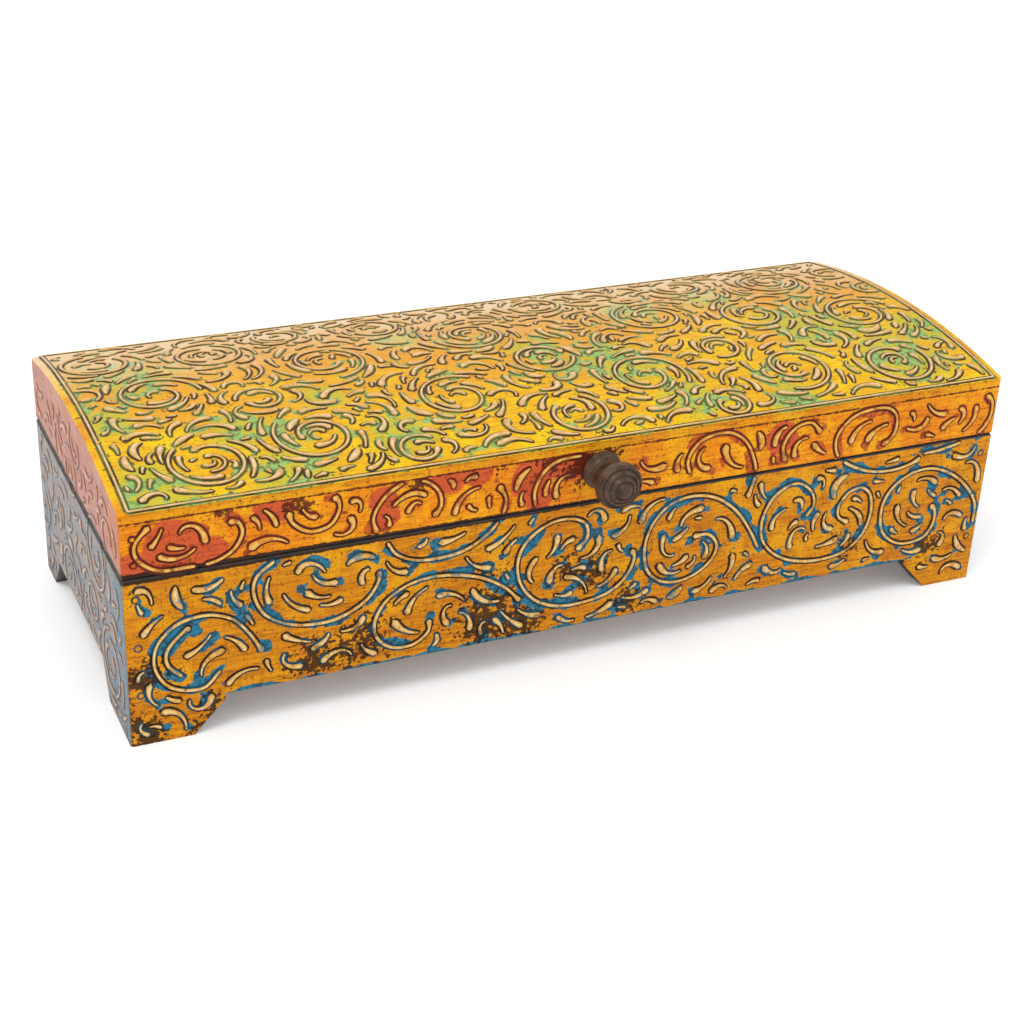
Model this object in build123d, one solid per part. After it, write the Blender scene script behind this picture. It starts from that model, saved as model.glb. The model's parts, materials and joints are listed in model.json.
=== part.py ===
from build123d import *
import math
import os

# Painted jewelry box: a long, low case on bracket feet with a shallow domed lid.
# Millimetres. X runs along the box, Y from the front to the back, Z up.
# The origin is the middle of the whole footprint, knob included, on the surface that the box stands on.
# Everything is laid out about the middle of the case and moved back by half the knob's reach at the end.

# Case
length = 400.0
depth = 156.5
parting_height = 75.0
board = 10.0
corner_round = 1.2
rim_bevel = 0.9

# Bracket feet, measured from the outer corner along each side
foot_height = 16.5
foot_step = 2.5
long_foot_top = 38.5
long_foot_bottom = 25.5
end_front_foot_top = 43.0
end_front_foot_bottom = 35.0
end_rear_foot_top = 29.5
end_rear_foot_bottom = 17.5

# Floor board in its groove, and the felt that lies on it
floor_thickness = 4.0
floor_lift = 4.0
groove_depth = 4.0
groove_gap = 0.5
lining_thickness = 1.5
lining_gap = 0.5

# Lid: height of its edge above the parting line, and the bend of its top
lid_edge = 28.0
dome_rise = 8.5
top_thickness = 4.5
top_ease = 0.6

# Raised scrolls on the top, each a line of paste that winds in from its rim, in short straight runs
scroll_line = 1.8
scroll_lift = 0.6
scroll_border = 3.5
scroll_turn = 420.0
scroll_runs = 11
scroll_eye_share = 0.35
scroll_start_step = 137.5

# Where the scrolls stand: share of the way along the box, share from its front to its back, and radius
scroll_places = [
    (0.09, 0.52, 19.0),
    (0.22, 0.20, 18.0),
    (0.28, 0.60, 19.0),
    (0.385, 0.285, 18.0),
    (0.46, 0.66, 18.0),
    (0.60, 0.255, 19.0),
    (0.68, 0.62, 19.0),
    (0.77, 0.19, 18.0),
    (0.92, 0.44, 19.0),
]

# Nails and screws: their heads' flats, their square shanks, and the width that these taper to
head_flats = 8
shank_flats = 4
point_radius = 0.25

# Nails through the corners of the case and of the lid
nail_head_radius = 1.6
nail_head_height = 0.8
nail_shank_radius = 0.8
nail_length = 22.0
case_nail_rows = 3
case_nail_drop = 9.0
case_nail_spacing = 21.5
lid_nail_rows = 2
lid_nail_rise = 6.0
lid_nail_spacing = 11.0

# Brads that hold the bent top down
brad_head_radius = 1.0
brad_head_height = 0.6
brad_shank_radius = 0.5
brad_length = 12.0
long_brad_count = 5
long_brad_inset = 20.0
end_brad_count = 2
end_brad_inset = 48.0

# Turned knob on the lid's front rail, with the screw that holds it
knob_rise = 14.5
knob_foot_radius = 8.5
knob_foot_height = 1.6
knob_neck_radius = 5.4
knob_neck_height = 7.0
knob_cove_steps = 2
knob_rim_radius = 10.0
knob_rim_low = 14.0
knob_rim_high = 17.6
knob_rim_ease = 1.2
knob_ring_count = 3
knob_ring_step = 1.4
knob_nub_radius = 2.2
knob_nub_height = 0.8
knob_screw_radius = 1.75
knob_screw_bite = 12.0
knob_screw_head_radius = 3.5
knob_screw_head_height = 2.0
knob_slot_width = 0.9
knob_slot_depth = 0.9

# Butt hinges let into the back edges of the case and the lid
hinge_length = 32.0
hinge_inset = 75.0
leaf_width = 6.4
leaf_thickness = 1.0
leaf_setback = 0.1
mortise_gap = 0.1
knuckle_count = 3
knuckle_radius = 1.9
knuckle_gap = 0.15
knuckle_swing = 0.25
pin_radius = 0.95
pin_clearance = 0.05
pin_head_radius = 1.5
pin_head_height = 0.6
gain_clearance = 0.3
gain_end = 0.5

# The V cut along the back, whose two faces meet and stop the lid
lid_opening = 100.0
back_bevel = 2.5
stop_clearance = 0.15

# Countersunk screws of the hinges
hinge_screw_count = 2
hinge_screw_spacing = 20.0
hinge_screw_radius = 0.9
hinge_screw_head_radius = 1.7
hinge_screw_head_height = 0.8
hinge_screw_length = 9.0
hinge_slot_width = 0.45
hinge_slot_depth = 0.4

# Sizes that follow from the ones above
half_length = length / 2
half_depth = depth / 2
inner_length = length - 2 * board
inner_depth = depth - 2 * board
floor_bottom = foot_height + floor_lift
floor_top = floor_bottom + floor_thickness
edge_height = parting_height + lid_edge
crest_height = edge_height + dome_rise
outer_radius = (half_depth ** 2 + dome_rise ** 2) / (2 * dome_rise)
inner_radius = outer_radius - top_thickness
dome_centre = crest_height - outer_radius
nail_line = half_length - board / 2
brad_line = half_depth - board / 2
hinge_axis_y = half_depth - back_bevel + stop_clearance
hinge_places = [hinge_inset - half_length, half_length - hinge_inset]
knob_reach = knob_rim_high + knob_rim_ease + knob_ring_count * knob_ring_step + knob_nub_height
beyond = 1.0


def spaced(count, spacing):
    """Offsets of evenly spaced things about their middle."""
    return [(index - (count - 1) / 2) * spacing for index in range(count)]


def spread(count, reach):
    """Offsets of evenly spaced things, the outermost this far from their middle."""
    return spaced(count, 2 * reach / (count - 1))


def long_board(side, low, high, rim):
    """Front (side -1) or back (side 1) board, with its outer corners and its rim eased."""
    outline = Pos(0, side * (half_depth - board / 2)) * Rectangle(length, board)
    outer_corners = outline.vertices().sort_by(Axis.Y, reverse=side > 0)[:2]
    outline = fillet(outer_corners, corner_round)
    blank = Pos(0, 0, low) * extrude(outline, high - low)
    rim_face = blank.faces().sort_by(Axis.Z)[-1 if rim == "top" else 0]
    eased_edges = rim_face.edges().sort_by(Axis.Y, reverse=side > 0)[:-1]
    return chamfer(eased_edges, rim_bevel)


def end_board(side, low, high, rim):
    """Left (side -1) or right (side 1) board between the long ones, with its rim eased."""
    blank = Pos(side * (half_length - board / 2), 0, (low + high) / 2) * Box(board, inner_depth, high - low)
    rim_face = blank.faces().sort_by(Axis.Z)[-1 if rim == "top" else 0]
    outer_edge = rim_face.edges().filter_by(Axis.Y).sort_by(Axis.X, reverse=side > 0)[0]
    return chamfer(outer_edge, rim_bevel)


def foot_gap(start_top, start_bottom, end_top, end_bottom, half_span):
    """Outline of the gap between two bracket feet, seen square to the side."""
    step_height = foot_height - foot_step
    return Polygon(
        (-half_span + start_bottom, -beyond),
        (-half_span + start_bottom, 0),
        (-half_span + start_top, step_height),
        (-half_span + start_top, foot_height),
        (half_span - end_top, foot_height),
        (half_span - end_top, step_height),
        (half_span - end_bottom, 0),
        (half_span - end_bottom, -beyond),
        align=None,
    )


def long_foot_gap():
    """The gap under the front and the back."""
    outline = foot_gap(long_foot_top, long_foot_bottom, long_foot_top, long_foot_bottom, half_length)
    return extrude(Plane.XZ * outline, depth, both=True)


def end_foot_gap():
    """The gap under each end, whose rear foot is the smaller one."""
    outline = foot_gap(
        end_front_foot_top, end_front_foot_bottom, end_rear_foot_top, end_rear_foot_bottom, half_depth
    )
    return extrude(Plane.YZ * outline, length, both=True)


def floor_slab(reach):
    """The floor's thickness, reaching this far into the boards all round."""
    middle = (floor_bottom + floor_top) / 2
    return Pos(0, 0, middle) * Box(inner_length + 2 * reach, inner_depth + 2 * reach, floor_thickness)


def back_v(side):
    """Half of the V along the back: below the parting line (side -1) or above it (side 1)."""
    slope = math.tan(math.radians(lid_opening / 2))
    apex = half_depth - back_bevel
    outside = half_depth + beyond
    outline = Polygon(
        (apex, parting_height),
        (outside, parting_height + side * slope * (outside - apex)),
        (outside, parting_height - side * beyond),
        (apex, parting_height - side * beyond),
        align=None,
    )
    return extrude(Plane.YZ * outline, length, both=True)


def faceted(low_radius, low, high_radius, high, flats=head_flats):
    """A fastener's head or shank: flat-sided and upright, from its low end to its high one."""
    turns = [2 * math.pi * flat / flats for flat in range(flats)]
    low_ring = [(low_radius * math.cos(turn), low_radius * math.sin(turn), low) for turn in turns]
    high_ring = [(high_radius * math.cos(turn), high_radius * math.sin(turn), high) for turn in turns]
    outlines = [low_ring, high_ring]
    for flat in range(flats):
        outlines.append([low_ring[flat - 1], low_ring[flat], high_ring[flat], high_ring[flat - 1]])
    return Solid(Shell([Face(Wire.make_polygon(outline)) for outline in outlines]))


def nail(head_radius, head_height, shank_radius, full_length):
    """A nail with its head's outer face at the origin, driven along -Z."""
    head = faceted(head_radius, -head_height, head_radius, 0)
    return head + faceted(point_radius, -full_length, shank_radius, -head_height, shank_flats)


def corner_nails(heights):
    """Nails driven through the front and the back into the ends, at these heights."""
    corner_nail = nail(nail_head_radius, nail_head_height, nail_shank_radius, nail_length)
    from_front = Rot(X=90) * corner_nail
    from_back = Rot(X=-90) * corner_nail
    placed = []
    for height in heights:
        for across in (-nail_line, nail_line):
            placed.append(Pos(across, -half_depth, height) * from_front)
            placed.append(Pos(across, half_depth, height) * from_back)
    return placed


def top_brad_set():
    """Brads square to the bent top, along all four edges."""
    brad = nail(brad_head_radius, brad_head_height, brad_shank_radius, brad_length)
    spots = []
    for across in spread(long_brad_count, half_length - long_brad_inset):
        spots += [(across, -brad_line), (across, brad_line)]
    for along in spread(end_brad_count, half_depth - end_brad_inset):
        spots += [(-nail_line, along), (nail_line, along)]
    placed = []
    for across, along in spots:
        lean = math.degrees(math.asin(along / outer_radius))
        placed.append(Pos(across, 0, dome_centre) * Rot(X=-lean) * Pos(0, 0, outer_radius) * brad)
    return placed


def bar_along(radius):
    """A round bar about the dome's centre line, longer than the box."""
    return Pos(0, 0, dome_centre) * Rot(Y=90) * Cylinder(radius, length + 2 * beyond)


def scroll_outline(radius, start):
    """A scroll in plan: a band that winds in from its rim towards its eye."""
    outer = []
    inner = []
    for run in range(scroll_runs + 1):
        share = run / scroll_runs
        angle = math.radians(start + scroll_turn * share)
        reach = radius * (1 - (1 - scroll_eye_share) * share)
        for edge, offset in ((outer, scroll_line / 2), (inner, -scroll_line / 2)):
            edge.append(((reach + offset) * math.cos(angle), (reach + offset) * math.sin(angle)))
    return Polygon(*outer, *reversed(inner), align=None)


def raised_scrolls():
    """The scrolls of paste, standing on the bent top and rooted a little in it."""
    plan = extrude(Rectangle(length - 2 * scroll_border, depth - 2 * scroll_border), crest_height + beyond)
    layer = (plan & bar_along(outer_radius + scroll_lift)) - bar_along(outer_radius - scroll_lift)
    raised = []
    for index, (share_along, share_back, radius) in enumerate(scroll_places):
        outline = scroll_outline(radius, index * scroll_start_step)
        place = Pos((share_along - 0.5) * length, (share_back - 0.5) * depth)
        raised.append(layer & extrude(place * outline, crest_height + beyond))
    return raised


def bent_top():
    """The thin top, bent to an arc from front to back, flush on all four sides, with its scrolls."""
    plan = extrude(RectangleRounded(length, depth, corner_round), crest_height + beyond)
    sheet = (plan & bar_along(outer_radius)) - bar_along(inner_radius)
    upper_face = sheet.faces().filter_by(GeomType.CYLINDER).sort_by(Axis.Z)[-1]
    sheet = chamfer(upper_face.edges(), top_ease)
    for scroll in raised_scrolls():
        sheet += scroll
    return sheet


def knob_profile():
    """Half outline of the turned knob: radius across, distance from the rail up."""
    ring_width = (knob_rim_radius - knob_rim_ease - knob_nub_radius) / knob_ring_count
    cove_depth = knob_foot_radius - knob_neck_radius
    cove_height = knob_neck_height - knob_foot_height
    turns = [math.radians(90 * step / knob_cove_steps) for step in range(knob_cove_steps + 1)]
    cove = [
        (knob_foot_radius - cove_depth * math.sin(turn), knob_neck_height - cove_height * math.cos(turn))
        for turn in turns
    ]
    rim_low = (knob_rim_radius, knob_rim_low)
    rim_high = (knob_rim_radius, knob_rim_high)
    radius = knob_rim_radius - knob_rim_ease
    height = knob_rim_high + knob_rim_ease
    outline = [
        Polyline((0, 0), (knob_foot_radius, 0), *cove, rim_low),
        Line(rim_low, rim_high),
        Line(rim_high, (radius, height)),
    ]
    # The face climbs to the nub in turned steps
    for index in range(knob_ring_count):
        step_foot = (radius - ring_width, height)
        step_top = (radius - ring_width, height + knob_ring_step)
        outline += [Line((radius, height), step_foot), Line(step_foot, step_top)]
        radius, height = step_top
    nub_top = height + knob_nub_height
    nub_edge = (radius - knob_nub_height, nub_top)
    outline += [Line((radius, height), nub_edge), Line(nub_edge, (0, nub_top)), Line((0, nub_top), (0, 0))]
    return make_face(outline)


def on_rail(shape):
    """Stands a shape made along +Z on the front of the lid's rail, pointing forwards."""
    return Pos(0, -half_depth, parting_height + knob_rise) * Rot(X=90) * shape


def knob_screw_body():
    """The knob's screw without its slot: head inside the lid, shank into the knob."""
    crown = knob_screw_head_height / 2
    crown_top = -board - knob_screw_head_height
    shank = faceted(knob_screw_radius, -board, knob_screw_radius, knob_screw_bite)
    skirt = faceted(knob_screw_head_radius, crown_top + crown, knob_screw_head_radius, -board)
    dome = faceted(knob_screw_head_radius - crown, crown_top, knob_screw_head_radius, crown_top + crown)
    return shank + skirt + dome


def knob_screw_part():
    """The knob's screw with its slot."""
    slot_bottom = -board - knob_screw_head_height
    slot = Pos(0, 0, slot_bottom) * Box(
        2 * knob_screw_head_radius + beyond, knob_slot_width, 2 * knob_slot_depth
    )
    return on_rail(knob_screw_body() - slot)


def at_hinge(place, shape):
    """Puts a shape made about the hinge pin at one of the two hinges."""
    return Pos(place, hinge_axis_y, parting_height) * shape


def along_pin(shape):
    """Turns a shape made along Z so that it lies along the hinge pin."""
    return Rot(Y=90) * shape


knuckle_length = (hinge_length - (knuckle_count - 1) * knuckle_gap) / knuckle_count
leaf_edge = knuckle_radius + knuckle_swing
leaf_screw_line = -(leaf_width + leaf_edge) / 2


def hinge_screw_bodies(side):
    """The screws of one leaf, without slots: below the pin (side -1) or above it (side 1)."""
    head = faceted(hinge_screw_radius, -hinge_screw_head_height, hinge_screw_head_radius, 0)
    screw = head + faceted(point_radius, -hinge_screw_length, hinge_screw_radius, -hinge_screw_head_height)
    if side > 0:
        screw = Rot(X=180) * screw
    return [
        Pos(across, leaf_screw_line, side * leaf_setback) * screw
        for across in spaced(hinge_screw_count, hinge_screw_spacing)
    ]


def hinge_screws(side):
    """The slotted screws of one leaf."""
    slot = Box(hinge_slot_width, 2 * hinge_screw_head_radius + beyond, 2 * hinge_slot_depth)
    slotted = []
    for across, body in zip(spaced(hinge_screw_count, hinge_screw_spacing), hinge_screw_bodies(side)):
        slotted.append(body - Pos(across, leaf_screw_line, side * leaf_setback) * slot)
    return slotted


def hinge_leaf(side):
    """One brass leaf about its pin: the case's (side -1, outer knuckles) or the lid's (side 1)."""
    plate_middle = side * (leaf_setback + leaf_thickness / 2)
    plate_width = leaf_width - leaf_edge
    leaf = Pos(0, -leaf_edge - plate_width / 2, plate_middle) * Box(hinge_length, plate_width, leaf_thickness)
    for index, across in enumerate(spaced(knuckle_count, knuckle_length + knuckle_gap)):
        is_case_knuckle = index % 2 == 0
        if is_case_knuckle != (side < 0):
            continue
        web = Pos(across, -leaf_edge / 2, plate_middle) * Box(knuckle_length, leaf_edge, leaf_thickness)
        barrel = Pos(across, 0, 0) * along_pin(Cylinder(knuckle_radius, knuckle_length))
        leaf += web + barrel
    leaf -= along_pin(Cylinder(pin_radius + pin_clearance, hinge_length + 2 * beyond))
    for body in hinge_screw_bodies(side):
        leaf -= body
    return leaf


def hinge_pin():
    """The pin, with a peened head against each end knuckle."""
    pin = Cylinder(pin_radius, hinge_length)
    for end in (-1, 1):
        head = extrude(RegularPolygon(pin_head_radius, head_flats), end * pin_head_height)
        pin += Pos(0, 0, end * hinge_length / 2) * head
    return along_pin(pin)


def hinge_recess():
    """What is cut from the wood about one hinge: the leaves' mortises and the barrel's gain."""
    recess_depth = 2 * (leaf_setback + leaf_thickness)
    recess_width = leaf_width + mortise_gap + knuckle_radius
    mortise = Pos(0, knuckle_radius - recess_width / 2, 0) * Box(
        hinge_length + 2 * mortise_gap, recess_width, recess_depth
    )
    gain_length = hinge_length + 2 * (pin_head_height + gain_end)
    return mortise + along_pin(Cylinder(knuckle_radius + gain_clearance, gain_length))


def less(shape, cutters):
    """Cuts each of these shapes away in turn."""
    for cutter in cutters:
        shape -= cutter
    return shape


# Things that are cut out of more than one board
top_case_nail = parting_height - case_nail_drop
low_lid_nail = parting_height + lid_nail_rise
case_nails = corner_nails([top_case_nail - row * case_nail_spacing for row in range(case_nail_rows)])
lid_nails = corner_nails([low_lid_nail + row * lid_nail_spacing for row in range(lid_nail_rows)])
brads = top_brad_set()
floor_groove = floor_slab(groove_depth)
under_dome = bar_along(inner_radius)
recesses = [at_hinge(place, hinge_recess()) for place in hinge_places]
case_screw_bodies = [at_hinge(place, body) for place in hinge_places for body in hinge_screw_bodies(-1)]
lid_screw_bodies = [at_hinge(place, body) for place in hinge_places for body in hinge_screw_bodies(1)]

parts = {}

# Case
parts["front_panel"] = less(
    long_board(-1, 0, parting_height, "top"), [long_foot_gap(), floor_groove] + case_nails
)
parts["back_panel"] = less(
    long_board(1, 0, parting_height, "top"),
    [long_foot_gap(), floor_groove, back_v(-1)] + case_nails + recesses + case_screw_bodies,
)
for name, side in (("left_end_panel", -1), ("right_end_panel", 1)):
    parts[name] = less(end_board(side, 0, parting_height, "top"), [end_foot_gap(), floor_groove] + case_nails)
parts["floor_board"] = floor_slab(groove_depth - groove_gap)
parts["floor_lining"] = Pos(0, 0, floor_top + lining_thickness / 2) * Box(
    inner_length - 2 * lining_gap, inner_depth - 2 * lining_gap, lining_thickness
)
parts["case_nails"] = Compound(children=case_nails)

# Lid
for name, side in (("lid_front_rail", -1), ("lid_back_rail", 1)):
    rail = long_board(side, parting_height, edge_height, "bottom") & under_dome
    parts[name] = less(rail, lid_nails + brads)
parts["lid_front_rail"] -= on_rail(knob_screw_body())
parts["lid_back_rail"] = less(parts["lid_back_rail"], [back_v(1)] + recesses + lid_screw_bodies)
for name, side in (("lid_left_end", -1), ("lid_right_end", 1)):
    end = end_board(side, parting_height, crest_height, "bottom") & under_dome
    parts[name] = less(end, lid_nails + brads)
parts["lid_top"] = less(bent_top(), brads)
parts["lid_nails"] = Compound(children=lid_nails)
parts["top_brads"] = Compound(children=brads)

# Knob
knob = revolve(Plane.XZ * knob_profile(), Axis.Z)
parts["knob"] = on_rail(knob - knob_screw_body())
parts["knob_screw"] = knob_screw_part()

# Hinges
for name, place in zip(("left", "right"), hinge_places):
    parts[name + "_hinge_case_leaf"] = at_hinge(place, hinge_leaf(-1))
    parts[name + "_hinge_lid_leaf"] = at_hinge(place, hinge_leaf(1))
    parts[name + "_hinge_pin"] = at_hinge(place, hinge_pin())
parts["case_hinge_screws"] = Compound(
    children=[at_hinge(place, screw) for place in hinge_places for screw in hinge_screws(-1)]
)
parts["lid_hinge_screws"] = Compound(
    children=[at_hinge(place, screw) for place in hinge_places for screw in hinge_screws(1)]
)

os.makedirs("parts", exist_ok=True)
for name, shape in parts.items():
    export_step(Pos(0, knob_reach / 2, 0) * shape, f"parts/{name}.step")
hinge_axis_place = hinge_axis_y + knob_reach / 2
print(f"{len(parts)} parts; hinge axis at y {hinge_axis_place:.2f}, z {parting_height:.2f}")
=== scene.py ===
import json
import math
import random

import bmesh
import bpy
import numpy as np
from mathutils import Matrix, Vector

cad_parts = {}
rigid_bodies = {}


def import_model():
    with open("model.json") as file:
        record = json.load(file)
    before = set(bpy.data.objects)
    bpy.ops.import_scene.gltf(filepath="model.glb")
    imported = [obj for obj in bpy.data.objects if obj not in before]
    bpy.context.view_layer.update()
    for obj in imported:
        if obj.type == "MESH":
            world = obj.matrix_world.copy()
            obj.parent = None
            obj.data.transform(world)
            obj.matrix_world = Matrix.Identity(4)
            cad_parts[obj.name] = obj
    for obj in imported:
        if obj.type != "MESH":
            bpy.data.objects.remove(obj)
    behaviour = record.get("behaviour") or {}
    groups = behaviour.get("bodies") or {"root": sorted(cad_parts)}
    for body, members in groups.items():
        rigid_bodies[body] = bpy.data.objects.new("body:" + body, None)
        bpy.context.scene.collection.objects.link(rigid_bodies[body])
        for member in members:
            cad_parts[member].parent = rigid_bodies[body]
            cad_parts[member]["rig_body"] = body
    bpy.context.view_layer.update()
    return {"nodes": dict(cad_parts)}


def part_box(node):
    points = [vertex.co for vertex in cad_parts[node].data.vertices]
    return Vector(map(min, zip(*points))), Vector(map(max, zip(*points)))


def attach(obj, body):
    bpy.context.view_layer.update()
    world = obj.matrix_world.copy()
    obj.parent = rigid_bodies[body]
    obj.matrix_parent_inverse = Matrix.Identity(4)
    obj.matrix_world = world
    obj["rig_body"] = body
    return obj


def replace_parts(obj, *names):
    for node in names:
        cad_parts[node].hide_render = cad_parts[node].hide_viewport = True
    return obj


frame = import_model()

# Painted jewelry box: paint, raised paste ornament, knob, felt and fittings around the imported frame.
# Lengths here are millimetres in the frame's own axes, and become metres when a mesh is made.
MM = 0.001

# Places read from the frame
front_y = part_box("front_panel")[0].y / MM
back_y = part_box("back_panel")[1].y / MM
half_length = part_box("front_panel")[1].x / MM
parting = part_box("front_panel")[1].z / MM
top_thickness = 4.5
crest_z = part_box("lid_left_end")[1].z / MM + top_thickness
middle_y = (front_y + back_y) / 2
half_depth = (back_y - front_y) / 2

# Bend of the top, as the frame has it
dome_rise = 8.5
edge_z = crest_z - dome_rise
dome_radius = (half_depth ** 2 + dome_rise ** 2) / (2 * dome_rise)
dome_centre_z = crest_z - dome_radius
joint_z = dome_centre_z + math.sqrt((dome_radius - top_thickness) ** 2 - half_depth ** 2)

# Bracket feet, as the frame has them: their widths at the top and at the bottom
foot_height = 16.5
foot_step = 2.5
long_foot = (38.5, 25.5)
end_front_foot = (43.0, 35.0)
end_rear_foot = (29.5, 17.5)

# The flat sides: a point of each, in the directions X and Y, the way to its right and the way outwards
flat_sides = {
    "front": ((0, front_y), (1, 0), (0, -1)),
    "back": ((0, back_y), (-1, 0), (0, 1)),
    "left": ((-half_length, middle_y), (0, -1), (-1, 0)),
    "right": ((half_length, middle_y), (0, 1), (1, 0)),
}

# How fine the painted faces are, and the grid that the ornament is laid out on
paint_cell = 1.3
field_step = 0.5
field_reach = 9.0
walk_step = 0.8
path_step = 0.6
filler_step = 0.5
fewest_points = 5

# What the ornament keeps clear of: the sides' edges, the lid's opening, the top's ends and the knob
front_margin = 0.6
other_margin = 2.0
opening_margin = 0.6
back_opening_margin = 4.6
top_end_margin = 5.5
knob_clear = 11.0
foot_side_slope = 0.7
scroll_margin = 0.9

# Section of a squeezed line of paste
skirt_width = 1.35
rim_lift = 0.09
skirt_sink = 0.03
shoulder_share = 0.72
shoulder_height_share = 0.78
frame_height_share = 0.75
end_relief = 0.55
ring_spacing = 1.3
most_height = 0.9
height_slope = 0.7
base_height = 0.2
base_width = 0.3
solid_width = 0.25
least_skirt = 0.02
end_ring_inset = 0.06
most_end_share = 0.98
ring_points = 7

# The knob sits here on the lid's front rail
knob_z = (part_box("knob")[0].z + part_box("knob")[1].z) / 2 / MM


def srgb(red, green, blue):
    """A colour of 0 to 255 a channel as Blender's linear values."""
    linear = []
    for value in (red, green, blue):
        share = value / 255
        linear.append(share / 12.92 if share <= 0.04045 else ((share + 0.055) / 1.055) ** 2.4)
    return (*linear, 1.0)


# Sheets: the painted sides, unrolled


class Sheet:
    """One side of the box, unrolled: u runs to the right and v upwards for someone facing it."""

    def __init__(self, name, half_width, low, high):
        self.name = name
        self.margin = front_margin if name == "front" else other_margin
        self.relief = end_relief if name in ("left", "right") else 1.0
        self.half_width = half_width
        self.low = low
        self.high = high
        self.u_line = np.arange(-half_width, half_width + field_step, field_step)
        self.v_line = np.arange(low, high + field_step, field_step)
        u, v = np.meshgrid(self.u_line, self.v_line)
        self.room = self.clearance(u, v)
        self.near = np.full_like(u, field_reach)
        self.scroll_near = np.full_like(u, field_reach)
        self.angle = np.zeros_like(u)
        self.bend = np.zeros_like(u)
        self.strokes = []

    def place(self, u, v, lift):
        """Points in the box's axes, this far out from the face."""
        u, v, lift = (np.asarray(value, float) for value in (u, v, lift))
        if self.name in flat_sides:
            origin, to_right, outwards = flat_sides[self.name]
            x, y = (origin[axis] + to_right[axis] * u + outwards[axis] * lift for axis in (0, 1))
            return np.stack([x, y, v], -1)
        turn = v / dome_radius
        reach = dome_radius + lift
        return np.stack([u, middle_y + reach * np.sin(turn), dome_centre_z + reach * np.cos(turn)], -1)

    def unplace(self, points):
        """The (u, v) of points that lie on a flat side."""
        origin, to_right, _ = flat_sides[self.name]
        u = (points[:, 0] - origin[0]) * to_right[0] + (points[:, 1] - origin[1]) * to_right[1]
        return u, points[:, 2]

    def clearance(self, u, v):
        """Distance to the nearest edge, gap or fitting that the ornament keeps away from."""
        room = np.minimum(self.half_width - np.abs(u), np.minimum(v - self.low, self.high - v))
        if self.name == "top":
            return np.minimum(room, half_length - top_end_margin - np.abs(u))
        room = room - self.margin
        if self.name in ("front", "back"):
            room = np.minimum(room, joint_z - v)
            room = np.minimum(room, outside_gap(u, v, long_foot, long_foot, half_length))
        else:
            feet = (end_rear_foot, end_front_foot) if self.name == "left" else (end_front_foot, end_rear_foot)
            room = np.minimum(room, outside_gap(u, v, *feet, half_depth))
            room = np.minimum(room, dome_radius - top_thickness - np.hypot(u, v - dome_centre_z))
        if self.name == "front":
            room = np.minimum(room, np.hypot(u, v - knob_z) - knob_clear)
        opening = back_opening_margin if self.name == "back" else opening_margin
        return np.minimum(room, np.abs(v - parting) - opening)

    def sample(self, field, u, v):
        """A field's values at these places."""
        column = np.clip(np.rint((u + self.half_width) / field_step).astype(int), 0, field.shape[1] - 1)
        row = np.clip(np.rint((v - self.low) / field_step).astype(int), 0, field.shape[0] - 1)
        return field[row, column]

    def add(self, stroke):
        """Takes a stroke in and keeps its surroundings' distances up to date."""
        self.strokes.append(stroke)
        stride = max(1, int(walk_step / stroke.step))
        path = stroke.path[::stride]
        widths = stroke.widths[::stride]
        ahead = np.gradient(path, axis=0) if len(path) > 1 else np.array([[1.0, 0.0]])
        angles = np.arctan2(ahead[:, 1], ahead[:, 0])
        turned = np.gradient(np.unwrap(angles)) if len(path) > 1 else np.zeros(1)
        gaps = np.maximum(np.hypot(ahead[:, 0], ahead[:, 1]), 1e-6)
        cells = int(field_reach / field_step)
        for (u, v), width, angle, bend in zip(path, widths, angles, turned / gaps):
            column = int(round((u + self.half_width) / field_step))
            row = int(round((v - self.low) / field_step))
            rows = slice(max(row - cells, 0), max(row + cells + 1, 0))
            columns = slice(max(column - cells, 0), max(column + cells + 1, 0))
            away = np.hypot(self.u_line[columns][None, :] - u, self.v_line[rows][:, None] - v) - width
            if not away.size:
                continue
            np.minimum(self.room[rows, columns], away, out=self.room[rows, columns])
            np.minimum(self.near[rows, columns], away, out=self.near[rows, columns])
            if stroke.kind == "scroll":
                closer = away < self.scroll_near[rows, columns]
                self.scroll_near[rows, columns][closer] = away[closer]
                self.angle[rows, columns][closer] = angle
                self.bend[rows, columns][closer] = bend


def outside_gap(u, v, left_foot, right_foot, half_span):
    """Distance from the gap between two feet, whose inner sides are sawn aslant."""
    share = np.clip(v / (foot_height - foot_step), 0, 1)
    left = left_foot[1] + (left_foot[0] - left_foot[1]) * share - half_span
    right = half_span - right_foot[1] - (right_foot[0] - right_foot[1]) * share
    return np.maximum(v - foot_height, foot_side_slope * np.maximum(left - u, u - right))


class Stroke:
    """One squeezed line of paste: its path on the sheet and half its width along it."""

    def __init__(self, path, widths, kind):
        self.path = np.asarray(path, float)
        self.widths = np.asarray(widths, float)
        self.kind = kind
        gaps = np.hypot(*np.diff(self.path, axis=0).T)
        self.along = np.concatenate([[0], np.cumsum(gaps)])
        self.length = self.along[-1]
        self.step = self.length / max(len(self.path) - 1, 1)


# Paths


def smooth_path(points):
    """A Catmull-Rom curve through these points, with even steps."""
    points = np.asarray(points, float)
    knots = np.concatenate([[2 * points[0] - points[1]], points, [2 * points[-1] - points[-2]]])
    pieces = []
    share = np.linspace(0, 1, 16, endpoint=False)[:, None]
    for a, b, c, d in zip(knots, knots[1:], knots[2:], knots[3:]):
        curve = 2 * b + (c - a) * share + (2 * a - 5 * b + 4 * c - d) * share ** 2
        pieces.append((curve + (3 * b - a - 3 * c + d) * share ** 3) / 2)
    return even(np.concatenate(pieces + [points[-1:]]))


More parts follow.
